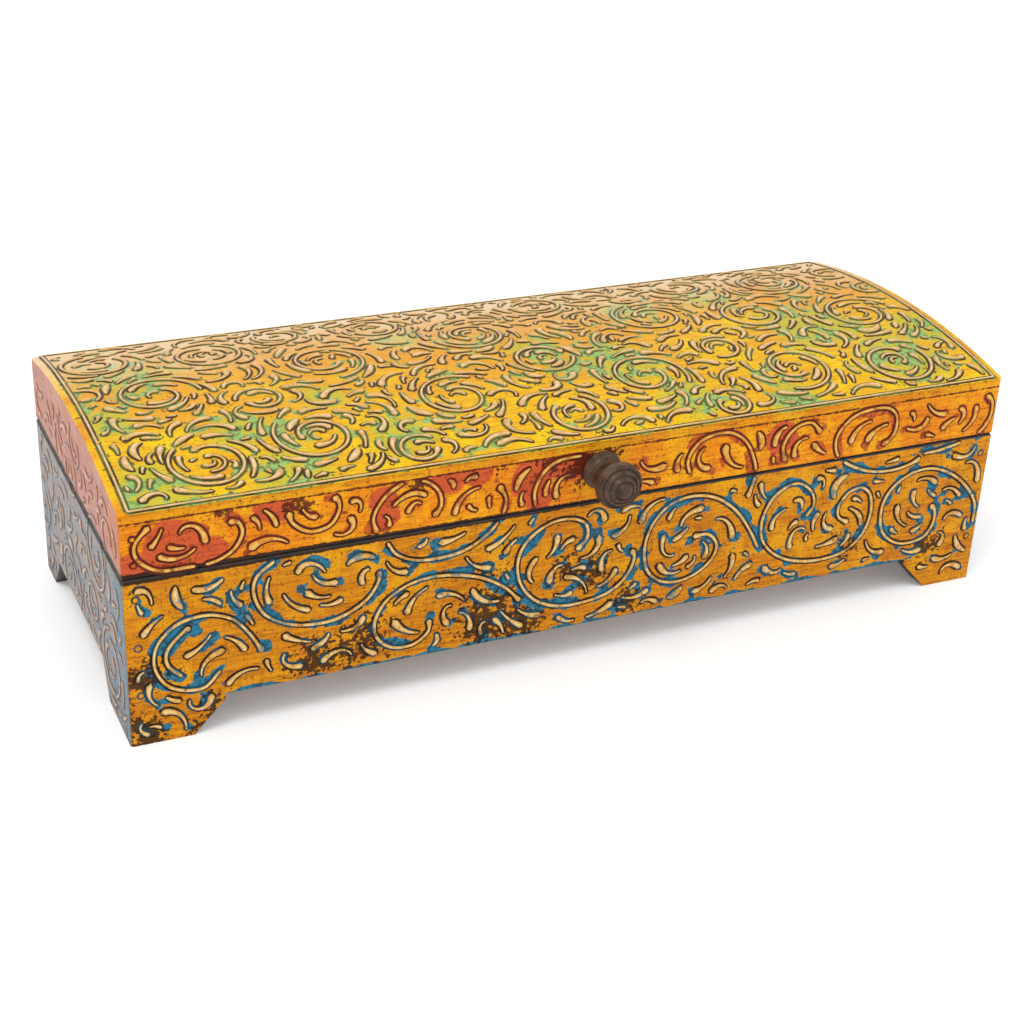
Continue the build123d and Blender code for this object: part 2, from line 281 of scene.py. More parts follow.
def even(points):
    """The same line with evenly spaced points."""
    along = np.concatenate([[0], np.cumsum(np.hypot(*np.diff(points, axis=0).T))])
    places = np.linspace(0, along[-1], max(int(along[-1] / path_step), 2) + 1)
    return np.stack([np.interp(places, along, points[:, axis]) for axis in (0, 1)], -1)


def spiral(centre, radius, start, sweep, hand, close):
    """A scroll that winds in from its rim towards its eye."""
    share = np.linspace(0, 1, 40)
    turn = start + hand * sweep * share
    reach = radius * (1 - (1 - close) * share ** 1.7)
    return even(np.stack([centre[0] + reach * np.cos(turn), centre[1] + reach * np.sin(turn)], -1))


def arc(middle, angle, bend, length, hook):
    """A short curved line about its middle, which may hook round at its far end."""
    places = np.linspace(-length / 2, length / 2, max(int(length / filler_step), 4) + 1)
    turn = angle + bend * places + math.copysign(hook, bend) * np.linspace(0, 1, len(places)) ** 3
    gap = places[1] - places[0]
    moves = np.stack([np.cos(turn), np.sin(turn)], -1) * gap
    path = np.cumsum(moves, axis=0)
    return path - path[len(path) // 2] + np.asarray(middle)


# Main scrolls of the front: millimetres from its left end and from the floor
front_scrolls = [
    [(36.9, 27.9), (29.5, 21.3), (17.5, 23.9), (11.2, 33.3), (12.1, 44), (20.1, 52.1), (31.5, 54.1),
     (41.6, 50.7), (48.3, 43.4), (54.3, 33)],
    [(21.5, 28.6), (16.1, 34.6), (16.1, 41.3), (21.5, 47.4), (25.5, 50)],
    [(59.6, 72.8), (52.3, 66.8), (51.3, 58.8), (55.6, 49.4), (65, 43.3), (75.7, 41.1), (86.4, 42),
     (97.1, 47.4), (102.5, 54.7), (103.2, 60.1)],
    [(165.7, 34), (158.1, 42), (146, 49.1), (130.6, 52.7), (117.2, 51.8), (106.5, 46), (101.4, 37.3),
     (102.2, 29.3), (108.5, 23.3), (117.9, 22.6), (124.6, 27.3), (125, 33)],
    [(106.5, 72.1), (110.5, 66.1), (118.6, 62.1), (129.3, 61.2), (140, 62.8), (149.4, 68.1),
     (155.4, 74.8), (157.4, 82.9), (154.1, 89.6)],
    [(101.8, 77.5), (100.5, 84.9), (105.2, 92.9), (113.2, 97.6), (121.9, 96.9), (127.9, 91.6),
     (129, 84.9), (125.9, 80.8)],
    [(190.9, 53.4), (195.6, 58.8), (194.2, 65.4), (186.9, 68.8), (177.5, 68.1), (168.1, 62.1),
     (164.1, 53.4), (165.4, 42.7), (172.1, 33.3), (182.9, 27.9), (196.2, 27.3), (208, 30), (215.4, 36),
     (218.7, 44), (217.4, 48.7)],
    [(280.4, 38), (275, 48), (267, 58.8), (256.2, 66.8), (244.2, 69.5), (233.5, 66.8), (226.1, 58.8),
     (223.4, 48), (225.4, 37.3), (232.1, 30.6), (241.5, 28.6), (250.9, 31.3), (257.6, 37.3),
     (258.9, 44), (254.2, 49.4), (246.9, 49.6)],
    [(303.8, 49.4), (307.1, 54.7), (305.1, 61.4), (298.4, 66.5), (291.1, 65.7), (284.4, 60.1),
     (281, 50.7), (282.4, 41.3), (289.1, 33.3), (299.1, 28), (312.5, 25.7), (325.9, 27.3), (334.6, 34),
     (338.3, 44), (336.9, 54.1), (331.9, 58.8), (325.2, 57.7), (320.8, 52.1), (321.2, 46),
     (326.6, 42.4)],
    [(397, 30), (396.4, 40), (390.2, 49.4), (380.8, 57.4), (368.7, 62.5), (356.7, 61.4),
     (347.3, 54.7), (344, 45.4), (346, 34.6), (352.7, 27.9), (360.7, 25.5), (370.1, 27.3),
     (374.1, 33.3), (374.1, 40), (371.4, 43.4)],
    [(339.3, 78.8), (344.6, 82.9), (345.3, 90.9), (340.6, 96.3), (331.2, 97.2), (321.9, 94.9),
     (315.8, 88.9), (314.5, 82.9), (317.2, 76.2), (324.6, 70.8), (333.9, 66.8), (344.6, 65.2),
     (354, 66.1), (361.4, 68.8)],
    [(362.7, 70.8), (372.8, 71.5), (387.5, 74.8), (394.2, 79.5), (397, 85.5), (396.2, 92.2),
     (392.9, 94.9)],
    [(242.2, 80.8), (240.8, 86.9), (244.2, 93.6), (250.9, 96.9), (260.3, 96.9), (268.3, 91.6),
     (273, 83.5), (275, 74.8), (272.3, 64.1)],
    [(170.8, 77.5), (170.1, 84.2), (173.5, 92.2), (180.2, 96.6), (189.5, 97.2), (198.9, 96.3)],
    [(11.4, 96.3), (5.8, 89.6), (6.7, 82.9), (14.1, 77.2), (24.8, 76.6), (35.5, 76.9), (43.6, 80.8),
     (47.3, 87.5), (45.6, 92.5), (42, 92.9)],
    [(65.7, 92.9), (67.7, 87.5), (74.4, 83.1), (82.4, 84.5), (86.2, 90.2), (85.8, 94.9), (83.7, 96.3)],
    [(289, 79), (287.5, 87), (292.5, 94), (300.5, 95.5), (306, 90)],
]

# The frame's own raised scrolls: share of the way along, share from front to back, and radius
frame_scrolls = [
    (0.09, 0.52, 19.0), (0.22, 0.20, 18.0), (0.28, 0.60, 19.0), (0.385, 0.285, 18.0), (0.46, 0.66, 18.0),
    (0.60, 0.255, 19.0), (0.68, 0.62, 19.0), (0.77, 0.19, 18.0), (0.92, 0.44, 19.0),
]
frame_scroll_turn = 420.0
frame_scroll_start_step = 137.5
frame_scroll_eye_share = 0.35

# Scrolls between them: millimetres from the left end and from the front, and radius
more_rosettes = [
    (42, 24, 16), (68, 122, 15), (22, 128, 15), (125, 12, 9), (197, 20, 14), (204, 68, 13), (146, 130, 14),
    (228, 134, 14), (320, 84, 16), (358, 23, 16), (352, 124, 16), (306, 135, 12), (266, 10, 8),
    (75, 66, 10), (388, 128, 10), (104, 137, 10), (284, 55, 9), (392, 98, 8), (8, 90, 7),
]


# A scroll's half width: its waves, and the bulbs where a squeeze starts or ends
width_wave = 0.09
bulb_size = 0.75
bulb_place = 0.9
bulb_reach = 1.7


def bulbed(path, thin, bulb_start, rng):
    """Half widths of a scroll: nearly even, with a bulb where the squeeze ended or also where it started."""
    along = np.concatenate([[0], np.cumsum(np.hypot(*np.diff(path, axis=0).T))])
    widths = thin * (1 + width_wave * np.sin(along / rng.uniform(5, 9) + rng.uniform(0, 6)))
    bulb = bulb_size * rng.uniform(0.8, 1.15)
    places = [along, along[-1] - along] if bulb_start else [along[-1] - along]
    for place in places:
        widths = widths + bulb * np.exp(-((place - bulb_place) / bulb_reach) ** 2)
    return widths


def unbroken(path, widths, keep):
    """The runs of a line that are kept: it breaks where the lid opens and where the side ends."""
    runs = []
    start = None
    for index, kept in enumerate(list(keep) + [False]):
        if kept and start is None:
            start = index
        if not kept and start is not None:
            if index - start > fewest_points:
                runs.append((path[start:index], widths[start:index]))
            start = None
    return runs


def add_scroll(sheet, path, rng, thin=0.72, bulb_start=False):
    """Lays one scroll, cut where the lid opens and where it would run off the side."""
    widths = bulbed(path, thin, bulb_start, rng)
    keep = sheet.clearance(path[:, 0], path[:, 1]) > scroll_margin
    for piece, piece_widths in unbroken(path, widths, keep):
        sheet.add(Stroke(piece, piece_widths, "scroll"))


# Fillers: shortest length, longest length, most half width, gap kept, tries for each 100 square mm
side_fillers = [
    (11.0, 17.0, 1.85, 1.9, 10),
    (8.0, 11.0, 1.7, 1.8, 10),
    (5.0, 8.0, 1.45, 1.6, 9),
    (2.8, 4.2, 1.15, 1.7, 1.2),
]
top_fillers = [
    (12.0, 19.0, 1.9, 1.0, 12),
    (8.0, 12.0, 1.7, 0.95, 14),
    (5.0, 8.0, 1.4, 0.9, 14),
    (2.8, 4.4, 1.15, 0.85, 4),
]


# Most fillers are teardrops, a few are leaves and the rest plain commas
teardrop_share = 0.88
leaf_share = 0.05


def filler_widths(count, most, rng):
    """Half widths of a teardrop, a leaf or a plain comma."""
    share = np.linspace(0, 1, count)
    thin = rng.uniform(0.32, 0.45)
    form = rng.random()
    if form < teardrop_share:
        body = share ** rng.uniform(1.1, 2.2)
    elif form < teardrop_share + leaf_share:
        body = np.sin(math.pi * np.clip(share * 0.94 + 0.04, 0, 1))
    else:
        body = 0.4 + 0.22 * np.sin(share * 5)
    body = body * (1 + 0.08 * np.sin(share * rng.uniform(9, 16)))
    if rng.random() < 0.5:
        body = body[::-1]
    return thin + (most - thin) * body


# Rows of teardrops in a rosette: share of its radius and most half width, and the gap they keep
petal_rows = [(0.72, 1.7), (0.44, 1.5), (0.2, 1.1), (1.24, 1.7)]
petal_gap = 0.8
petal_lengths = (9.0, 15.0)
petal_spacings = (2.0, 3.6)
petal_most_turn = 2.7
petal_closing = 0.16


def petals(sheet, centre, radius, rng):
    """Teardrops that curl round inside a scroll and once round its outside."""
    for share, most in petal_rows:
        turn = rng.uniform(0, 1.5)
        end = turn + 2 * math.pi - 0.6
        while turn < end:
            reach = radius * share * rng.uniform(0.92, 1.08)
            sweep = min(rng.uniform(*petal_lengths) / reach, petal_most_turn)
            width = most * rng.uniform(0.8, 1.1)
            places = np.linspace(0, 1, max(int(sweep * reach / filler_step), 5))
            widths = filler_widths(len(places), width, rng)
            angle = turn + sweep * places
            for shrink in (1.0, 0.9, 1.1):
                coil = reach * shrink * (1 - petal_closing * places)
                path = np.stack([centre[0] + coil * np.cos(angle), centre[1] + coil * np.sin(angle)], -1)
                spots = sheet.sample(sheet.room, path[:, 0], path[:, 1])
                if np.all(spots > widths + petal_gap):
                    sheet.add(Stroke(path, widths, "filler"))
                    break
            turn += sweep + rng.uniform(*petal_spacings) / reach


# How fillers bend, in radians a millimetre, and how many hook round at one end
most_bend = 0.19
least_bend = 0.03
usual_bend = 0.09
bend_gain = 1.7
hooked_share = 0.45
far_from_scrolls = field_reach * 0.98


def fill(sheet, rng, sizes):
    """Fills the room between the scrolls with commas that turn as the nearest scroll does."""
    area = 2 * sheet.half_width * (sheet.high - sheet.low) / 100
    for shortest, longest, most, gap, tries in sizes:
        for _ in range(int(area * tries)):
            u = rng.uniform(-sheet.half_width, sheet.half_width)
            v = rng.uniform(sheet.low, sheet.high)
            spare = float(sheet.sample(sheet.room, u, v))
            angle = float(sheet.sample(sheet.angle, u, v)) + rng.gauss(0, 0.3)
            length = rng.uniform(shortest, longest)
            width = most * rng.uniform(0.75, 1.1)
            bend = float(sheet.sample(sheet.bend, u, v)) * rng.uniform(0.7, 1.5) * bend_gain
            wide_gap = gap * rng.uniform(0.8, 1.5)
            if spare < width + wide_gap:
                continue
            if float(sheet.sample(sheet.scroll_near, u, v)) >= far_from_scrolls:
                angle = rng.uniform(0, math.pi)
            if abs(bend) <= least_bend:
                bend = rng.choice((-1, 1)) * usual_bend
            bend = max(-most_bend, min(most_bend, bend))
            hook = rng.uniform(0.3, 1.6) if rng.random() < hooked_share else 0.0
            path = arc((u, v), angle, bend, length, hook)
            widths = filler_widths(len(path), width, rng)
            spots = sheet.sample(sheet.room, path[:, 0], path[:, 1])
            if np.all(spots > widths + wide_gap):
                sheet.add(Stroke(path, widths, "filler"))


# Laying out every side

sheets = {
    "front": Sheet("front", half_length, 0.0, edge_z),
    "back": Sheet("back", half_length, 0.0, edge_z),
    "left": Sheet("left", half_depth, 0.0, crest_z),
    "right": Sheet("right", half_depth, 0.0, crest_z),
}
arc_half = dome_radius * math.asin(half_depth / dome_radius)
sheets["top"] = Sheet("top", half_length, -arc_half, arc_half)


def lay_front():
    """The front's scrolls follow the photographed box's main ones."""
    rng = random.Random(11)
    sheet = sheets["front"]
    for points in front_scrolls:
        shifted = [(x - half_length, z) for x, z in points]
        add_scroll(sheet, smooth_path(shifted), rng, bulb_start=rng.random() < 0.35)
    fill(sheet, rng, side_fillers)


def lay_rosettes(sheet, spots, rng):
    """Scrolls that wind in, one to each spot, with an inner curl in the large ones."""
    for u, v, radius in spots:
        start = rng.uniform(0, 2 * math.pi)
        hand = rng.choice((-1, 1))
        sweep = rng.uniform(5.0, 6.6)
        add_scroll(sheet, spiral((u, v), radius, start, sweep, hand, close=rng.uniform(0.5, 0.8)), rng)
        if radius > 14:
            inner = spiral((u, v), radius * 0.42, start + 2.2, 3.6, hand, close=0.45)
            add_scroll(sheet, inner, rng, thin=0.62)


def lay_top():
    """The bent top: rosettes, fillers and the line of paste that frames them."""
    rng = random.Random(23)
    sheet = sheets["top"]
    end_inset = 4.2
    side_inset = 0.9
    bead_half_width = 0.55
    reach_u = half_length - end_inset
    reach_v = arc_half - side_inset
    corners = [(-reach_u, -reach_v), (reach_u, -reach_v), (reach_u, reach_v), (-reach_u, reach_v)]
    for first, last in zip(corners, corners[1:] + corners[:1]):
        path = even(np.array([first, last]))
        wobble = 0.05 * np.sin(np.arange(len(path)) * 0.06)
        path += np.stack([wobble, wobble], -1)
        sheet.add(Stroke(path, np.full(len(path), bead_half_width), "frame"))
    share = np.linspace(0, 1, 80)
    eyes = []
    for index, (share_along, share_back, radius) in enumerate(frame_scrolls):
        turn = np.radians(index * frame_scroll_start_step + frame_scroll_turn * share)
        reach = radius * (1 - (1 - frame_scroll_eye_share) * share)
        x = (share_along - 0.5) * 2 * half_length
        y = (share_back - 0.5) * 2 * half_depth
        across = dome_radius * np.arcsin((y + reach * np.sin(turn)) / dome_radius)
        add_scroll(sheet, even(np.stack([x + reach * np.cos(turn), across], -1)), rng, thin=0.65)
        eyes.append((x, dome_radius * math.asin(y / dome_radius), radius))
    spots = [(x - half_length, y - arc_half, radius) for x, y, radius in more_rosettes]
    lay_rosettes(sheet, spots, rng)
    for u, v, radius in eyes + spots:
        petals(sheet, (u, v), radius, rng)
    fill(sheet, rng, top_fillers)


# Places for rosettes: tries for each, then shares of a radius: room around it, to another, to the edge
spot_tries = 900
spot_room = 0.35
spot_gap = 0.98
spot_edge = 0.5


def scattered(sheet, rng, radii):
    """Rosette places that keep clear of each other and of the sheet's edges."""
    spots = []
    for radius in radii:
        for _ in range(spot_tries):
            u = rng.uniform(-sheet.half_width, sheet.half_width)
            v = rng.uniform(sheet.low, sheet.high)
            outline = abs(float(sheet.clearance(np.array(u), np.array(v))))
            inside = sheet.sample(sheet.room, u, v) > spot_room * radius
            apart = all(math.hypot(u - a, v - b) > spot_gap * (radius + r) for a, b, r in spots)
            if inside and apart and outline > spot_edge * radius:
                spots.append((u, v, radius))
                break
    return spots


def lay_plain(name, seed, radii):
    """A side that the photograph shows little or nothing of."""
    rng = random.Random(seed)
    sheet = sheets[name]
    lay_rosettes(sheet, scattered(sheet, rng, radii), rng)
    fill(sheet, rng, side_fillers)


lay_front()
lay_top()
lay_plain("back", 37, [20, 19, 19, 18, 18, 17, 16, 15, 14, 12, 12, 11, 10, 10, 9, 9])
lay_plain("left", 41, [17, 16, 15, 12, 11, 10, 9, 8])
lay_plain("right", 43, [17, 16, 15, 12, 11, 10, 9, 8])


# Patches of other colours and of dark wear: millimetres from the left end and from the floor, or from the
# top's front edge, and radius
top_green = [
    (14, 10, 22), (70, 8, 20), (60, 42, 15), (122, 24, 17), (100, 60, 12), (232, 54, 22),
    (250, 18, 16), (205, 78, 14), (338, 62, 26), (362, 28, 24), (388, 48, 18), (30, 104, 22),
    (296, 8, 14), (310, 112, 16), (268, 110, 15), (10, 64, 14), (150, 110, 12),
]
rail_red = [
    (20, 86, 13), (34, 80, 9), (4, 80, 7), (104, 92, 6), (106, 84, 6), (168, 90, 11), (184, 97, 12),
    (60, 96, 8), (146, 97, 7), (172, 80, 7), (286, 90, 8), (132, 97, 8),
]
front_dark = [
    (150, 27, 26), (166, 24, 22), (96, 27, 17), (76, 24, 16), (4, 8, 10), (8, 2, 10), (34, 9, 12),
    (28, 3, 9), (2, 30, 9), (196, 40, 12), (186, 46, 9), (8, 34, 9), (330, 30, 8), (372, 24, 9),
    (216, 24, 10), (190, 93, 13), (180, 98, 9), (206, 99, 7), (70, 98, 8), (40, 98, 6), (120, 98, 5),
    (155, 98, 6),
]


# How fast a patch fades past its radius
patch_fall = 1.1


def blobs(u, v, spots, shift_u, shift_v):
    """How far inside these round patches each place is, from 0 to 1."""
    total = np.zeros(len(u))
    for x, y, radius in spots:
        away = ((u - x + shift_u) ** 2 + (v - y + shift_v) ** 2) / radius ** 2
        total = np.maximum(total, np.exp(-away * patch_fall))
    return total


# How far the patches beside the paste and the grime and painted shade against it reach, how far the patches
# lean, and how high the darkening at the foot of the ends goes
halo_reach = 6.0
close_reach = 3.2
halo_lean = 1.3
end_darkening_height = 26.0

# The blue above the gap between the feet, and the grime up the front's left edge
under_most = 1.12
under_reach = 3.5
corner_most = 1.15
corner_reach = 5
corner_height = 48
corner_fade = 20


def paint_fields(sheet, u, v):
    """What the paint does at these places: halo beside scrolls, patches, darkening, and the top's painted
    sheen.
    """
    lean_u = u + halo_lean * np.sin(u / 13 + v / 9)
    lean_v = v + halo_lean * np.cos(u / 11 - v / 15)
    beside_scroll = np.maximum(sheet.sample(sheet.scroll_near, lean_u, lean_v), 0)
    beside_any = np.maximum(sheet.sample(sheet.near, lean_u, lean_v), 0) + 1.0
    halo = np.clip(1 - np.minimum(beside_scroll, beside_any) / halo_reach, 0, 1)
    close = np.clip(1 - np.maximum(sheet.sample(sheet.near, u, v), 0) / close_reach, 0, 1)
    if sheet.name in ("front", "back"):
        under = np.clip(under_most - (v - foot_height) / under_reach, 0, under_most)
        under = under * (v > foot_height - 0.1)
        halo = np.maximum(halo, under * (np.abs(u) < half_length - long_foot[0] + 4))
    if sheet.name == "top":
        patch = blobs(u, v, top_green, half_length, arc_half)
        # On the top: the share of the way to its back, which warms the paint and brings in the painted sheen
        darkening_and_sheen = np.clip((v + arc_half) / (2 * arc_half), 0, 1)
    elif sheet.name in ("front", "back"):
        patch = blobs(u, v, rail_red, half_length, 0)
        darkening_and_sheen = blobs(u, v, front_dark, half_length, 0)
        if sheet.name == "front":
            corner = np.clip(corner_most - (u + half_length) / corner_reach, 0, corner_most)
            darkening_and_sheen = np.maximum(darkening_and_sheen, corner * np.clip((corner_height - v) / corner_fade, 0, 1))
    else:
        patch = np.clip((u if sheet.name == "left" else -u) / half_depth, 0, 1) ** 2
        # On the ends: darker towards the bottom
        darkening_and_sheen = np.clip(1 - v / end_darkening_height, 0, 1)
    return {"halo": halo, "close": close, "patch": patch, "darkening_and_sheen": darkening_and_sheen}


# Node graphs


class Graph:
    """The nodes of one material, with short calls for the ones used here."""

    def __init__(self, name):
        self.material = bpy.data.materials.new(name)
        self.material.use_nodes = True
        self.tree = self.material.node_tree
        self.shader = self.tree.nodes["Principled BSDF"]
        self.place = self.tree.nodes.new("ShaderNodeTexCoord").outputs["Object"]

    def put(self, socket, value):
        """Links a socket to an output, or sets its value."""
        if isinstance(value, bpy.types.NodeSocket):
            self.tree.links.new(value, socket)
        else:
            socket.default_value = value

    def finish(self, **values):
        """Sets the shader's own sockets."""
        for name, value in values.items():
            self.put(self.shader.inputs[name.replace("_", " ")], value)
        return self.material

    def noise(self, sizes, detail, roughness, shift=0.0, distortion=0.0):
        """Noise whose grain has this size in mm, or these along X, Y and Z."""
        sizes = [sizes] * 3 if isinstance(sizes, (int, float)) else sizes
        mapping = self.tree.nodes.new("ShaderNodeMapping")
        self.put(mapping.inputs["Vector"], self.place)
        mapping.inputs["Scale"].default_value = [1 / (size * MM) for size in sizes]
        mapping.inputs["Location"].default_value = (shift, shift * 0.7, shift * 1.3)
        node = self.tree.nodes.new("ShaderNodeTexNoise")
        self.put(node.inputs["Vector"], mapping.outputs["Vector"])
        node.inputs["Scale"].default_value = 1.0
        node.inputs["Detail"].default_value = detail
        node.inputs["Roughness"].default_value = roughness
        node.inputs["Distortion"].default_value = distortion
        return node.outputs["Fac"]

    def attribute(self, name):
        """A value that the mesh carries."""
        node = self.tree.nodes.new("ShaderNodeAttribute")
        node.attribute_name = name
        return node.outputs["Fac"]

    def math(self, operation, first, second=0.0):
        """One sum on two values."""
        node = self.tree.nodes.new("ShaderNodeMath")
        node.operation = operation
        self.put(node.inputs[0], first)
        self.put(node.inputs[1], second)
        return node.outputs[0]

    def step(self, value, low, high, to_low=0.0, to_high=1.0):
        """A smooth step from low to high."""
        node = self.tree.nodes.new("ShaderNodeMapRange")
        node.interpolation_type = "SMOOTHSTEP"
        self.put(node.inputs["Value"], value)
        for name, number in zip(("From Min", "From Max", "To Min", "To Max"), (low, high, to_low, to_high)):
            node.inputs[name].default_value = number
        return node.outputs["Result"]

    def mix(self, share, first, second):
        """One colour going over to another."""
        node = self.tree.nodes.new("ShaderNodeMix")
        node.data_type = "RGBA"
        self.put(node.inputs["Factor"], share)
        self.put([s for s in node.inputs if s.name == "A" and s.type == "RGBA"][0], first)
        self.put([s for s in node.inputs if s.name == "B" and s.type == "RGBA"][0], second)
        return [s for s in node.outputs if s.type == "RGBA"][0]

    def total(self, value, *others):
        """A value and others added to it, each (other, gain)."""
        for other, gain in others:
            scaled = other if gain == 1 else self.math("MULTIPLY", other, gain)
            value = self.math("ADD", value, scaled)
        return value

    def gap(self, value, middle):
        """How far a value is from this one."""
        return self.math("ABSOLUTE", self.math("SUBTRACT", value, middle))

    def cover(self, colour, mask, limits, most, over):
        """A colour laid over another where the mask passes its limits, up to this much."""
        return self.mix(self.step(mask, *limits, 0.0, most), colour, over)

    def axis(self, name):
        """X, Y or Z of the place, in mm."""
        node = self.tree.nodes.new("ShaderNodeSeparateXYZ")
        self.put(node.inputs[0], self.place)
        return self.math("MULTIPLY", node.outputs[name], 1 / MM)

    def bump(self, height, depth, strength):
        """Bump of this depth in mm."""
        node = self.tree.nodes.new("ShaderNodeBump")
        node.inputs["Strength"].default_value = strength
        node.inputs["Distance"].default_value = depth * MM
        self.put(node.inputs["Height"], height)
        return node.outputs["Normal"]


def paint(name, look):
    """Brushed paint with rubbed halos, patches, dark wear, painted shade beside the paste and a painted sheen
    on the top; the paste's cream with a painted highlight on its crest, and its outlines.
    """
    graph = Graph(name)
    ink = look["ink"]
    along, across = look["grain"]
    streak = graph.noise(along, 4.0, 0.6)
    fine = graph.noise(across, 3.0, 0.6, shift=3.1)
    blot = graph.noise(17, 3.0, 0.6, shift=7.7)
    broad = graph.noise(46, 2.0, 0.5, shift=12.3)
    speck = graph.noise(1.1, 2.0, 0.6, shift=21.0)
    spots = graph.noise(8.5, 1.0, 0.4, shift=41.0)
    crumb = graph.noise(1.8, 2.0, 0.5, shift=45.0)
    ragged = graph.noise(4.5, 2.0, 0.5, shift=51.0)
    darkening_and_sheen, patch, crest = (graph.attribute(key) for key in ("darkening_and_sheen", "patch", "crest"))

    # Ground: brushed colour
    colour = graph.mix(graph.step(streak, 0.36, 0.66), look["ground"], look["ground_deep"])
    colour = graph.cover(colour, blot, (0.46, 0.66), 0.85, look["ground_light"])

    # Warmer from the middle of the top to its back
    if "warm" in look:
        colour = graph.cover(colour, graph.total(darkening_and_sheen, (broad, 1.2)), (0.8, 1.25), 0.9, look["warm"])

    # Patches of a second colour, with broken edges
    broken = graph.total(patch, (blot, 0.9), (fine, 0.35))
    colour = graph.cover(colour, broken, look["patch_range"], look["patch_most"], look["patch"])

    # Patches beside the paste: crisp, a few millimetres wide, and missing in places
    halo = graph.math("MULTIPLY", graph.attribute("halo"), 0.62)
    halo = graph.total(halo, (spots, 1), (broad, 0.4), (crumb, 0.1), (patch, look["patch_halo"]))
    shade = graph.mix(graph.step(crumb, 0.46, 0.6), look["halo"], look["halo_deep"])
    colour = graph.cover(colour, halo, look["halo_range"], look["halo_most"], shade)

    # The top's margin outside its bead
    if "margin" in look:
        beyond = graph.step(graph.gap(graph.axis("X"), 0.0), half_length - 4.4, half_length - 4.0)
        edge_tone = graph.mix(graph.step(blot, 0.4, 0.62), look["margin"], look["ground"])
        colour = graph.mix(beyond, colour, edge_tone)

    # Dark wear, thick in the worn places, darker toward the foot of the case's ends, and a little painted
    # shade beside the paste
    wear = graph.math("MULTIPLY", darkening_and_sheen, look["darkening_gain"])
    wear = graph.total(wear, (crumb, 1), (blot, 0.5), (graph.attribute("close"), 0.12), (fine, 0.3))
    colour = graph.cover(colour, wear, look["wear_range"], 0.92, ink)

    # Fine scratches left by the brush, hairline cracks and specks
    scratch = graph.noise(look["scratch"], 3.0, 0.65, shift=27.0)
    colour = graph.cover(colour, scratch, (0.57, 0.66), look["scratch_most"], ink)
    crack = graph.gap(graph.noise(look["crack"], 1.0, 0.4, shift=33.0), 0.5)
    colour = graph.mix(graph.step(crack, 0.003, 0.012, look["crack_most"], 0.0), colour, ink)
    colour = graph.cover(colour, speck, (0.62, 0.72), look["speck_most"], ink)

    # Grime and painted shade against the paste: the ground darkens next to each raised stroke
    close = graph.math("MULTIPLY", graph.attribute("close"), graph.step(crumb, 0.3, 0.7, 0.25, 1.0))
    colour = graph.cover(colour, close, (0.5, 1.0), look["close_most"], ink)

    # Painted reflection: a pale wash toward the back of the top, standing in for the sheen of the pale
    # surroundings in its gloss
    if "reflection_wash" in look:
        colour = graph.cover(colour, graph.total(darkening_and_sheen, (blot, 0.5)), (0.8, 1.3), 0.85, look["reflection_wash"])

    # The dark joint under the top
    if "joint" in look:
        rise = graph.math("SUBTRACT", graph.gap(graph.axis("Z"), joint_z), graph.math("MULTIPLY", crumb, 1.5))
        colour = graph.mix(graph.step(rise, -0.55, -0.15, 0.9, 0.0), colour, look["joint"])

    # Black along the parting line, wider at the left of the front
    if "parting" in look:
        reach = graph.math("MULTIPLY", graph.total(graph.axis("X"), (half_length, 1)), -0.006)
        reach = graph.math("MAXIMUM", graph.total(reach, (2.4, 1)), 0.6)
        band = graph.total(reach, (-0.6, 1), (crumb, 1.3))
        band = graph.math("SUBTRACT", band, graph.gap(graph.axis("Z"), parting))
        colour = graph.cover(colour, band, (-0.25, 0.25), 0.95, look["parting"])

    # The paste: its outline, dark or in the patches' colour, then its crest, paler along the top as a painted
    # highlight and rubbed to the ground in places
    edge = graph.math("SUBTRACT", graph.attribute("ink"), graph.math("MULTIPLY", ragged, look["ink_gap"]))
    line = graph.cover(look["outline"], spots, (0.46, 0.56), look["line_tint"], look["halo_deep"])
    colour = graph.cover(colour, edge, (0.05, 0.22), look["ink_most"], line)
    shadow = graph.noise(3.4, 3.0, 0.6, shift=31.0)
    # Painted highlight: the cream goes paler along each bead's crest, broken up in patches by the shadow
    # noise
    crest_highlight = graph.math("MULTIPLY", graph.step(crest, 0.66, 0.96), graph.step(shadow, 0.62, 0.42))
    cream = graph.mix(crest_highlight, look["cream_deep"], look["cream"])
    rubbed = graph.step(ragged, 0.5, 0.64, 1.0, look["cream_least"])
    colour = graph.mix(graph.math("MULTIPLY", graph.step(crest, 0.15, 0.5), rubbed), colour, cream)
    colour = graph.cover(colour, speck, (0.58, 0.68), look["crest_specks"], ink)

    height = graph.total(graph.math("MULTIPLY", streak, 0.7), (fine, 0.5), (speck, 0.2))
    rough = graph.step(blot, 0.3, 0.75, look["rough"] - 0.06, look["rough"] + 0.1)
    return graph.finish(
        Base_Color=colour, Roughness=rough, Normal=graph.bump(height, 0.16, 0.7),
        Coat_Weight=0.02, Coat_Roughness=0.25, Specular_IOR_Level=0.12,
    )


paint_share = 0.8


def tone(red, green, blue):
    """A paint's colour under this scene's light, which is brighter than the photograph's."""
    return tuple(value * paint_share for value in srgb(red, green, blue)[:3]) + (1.0,)


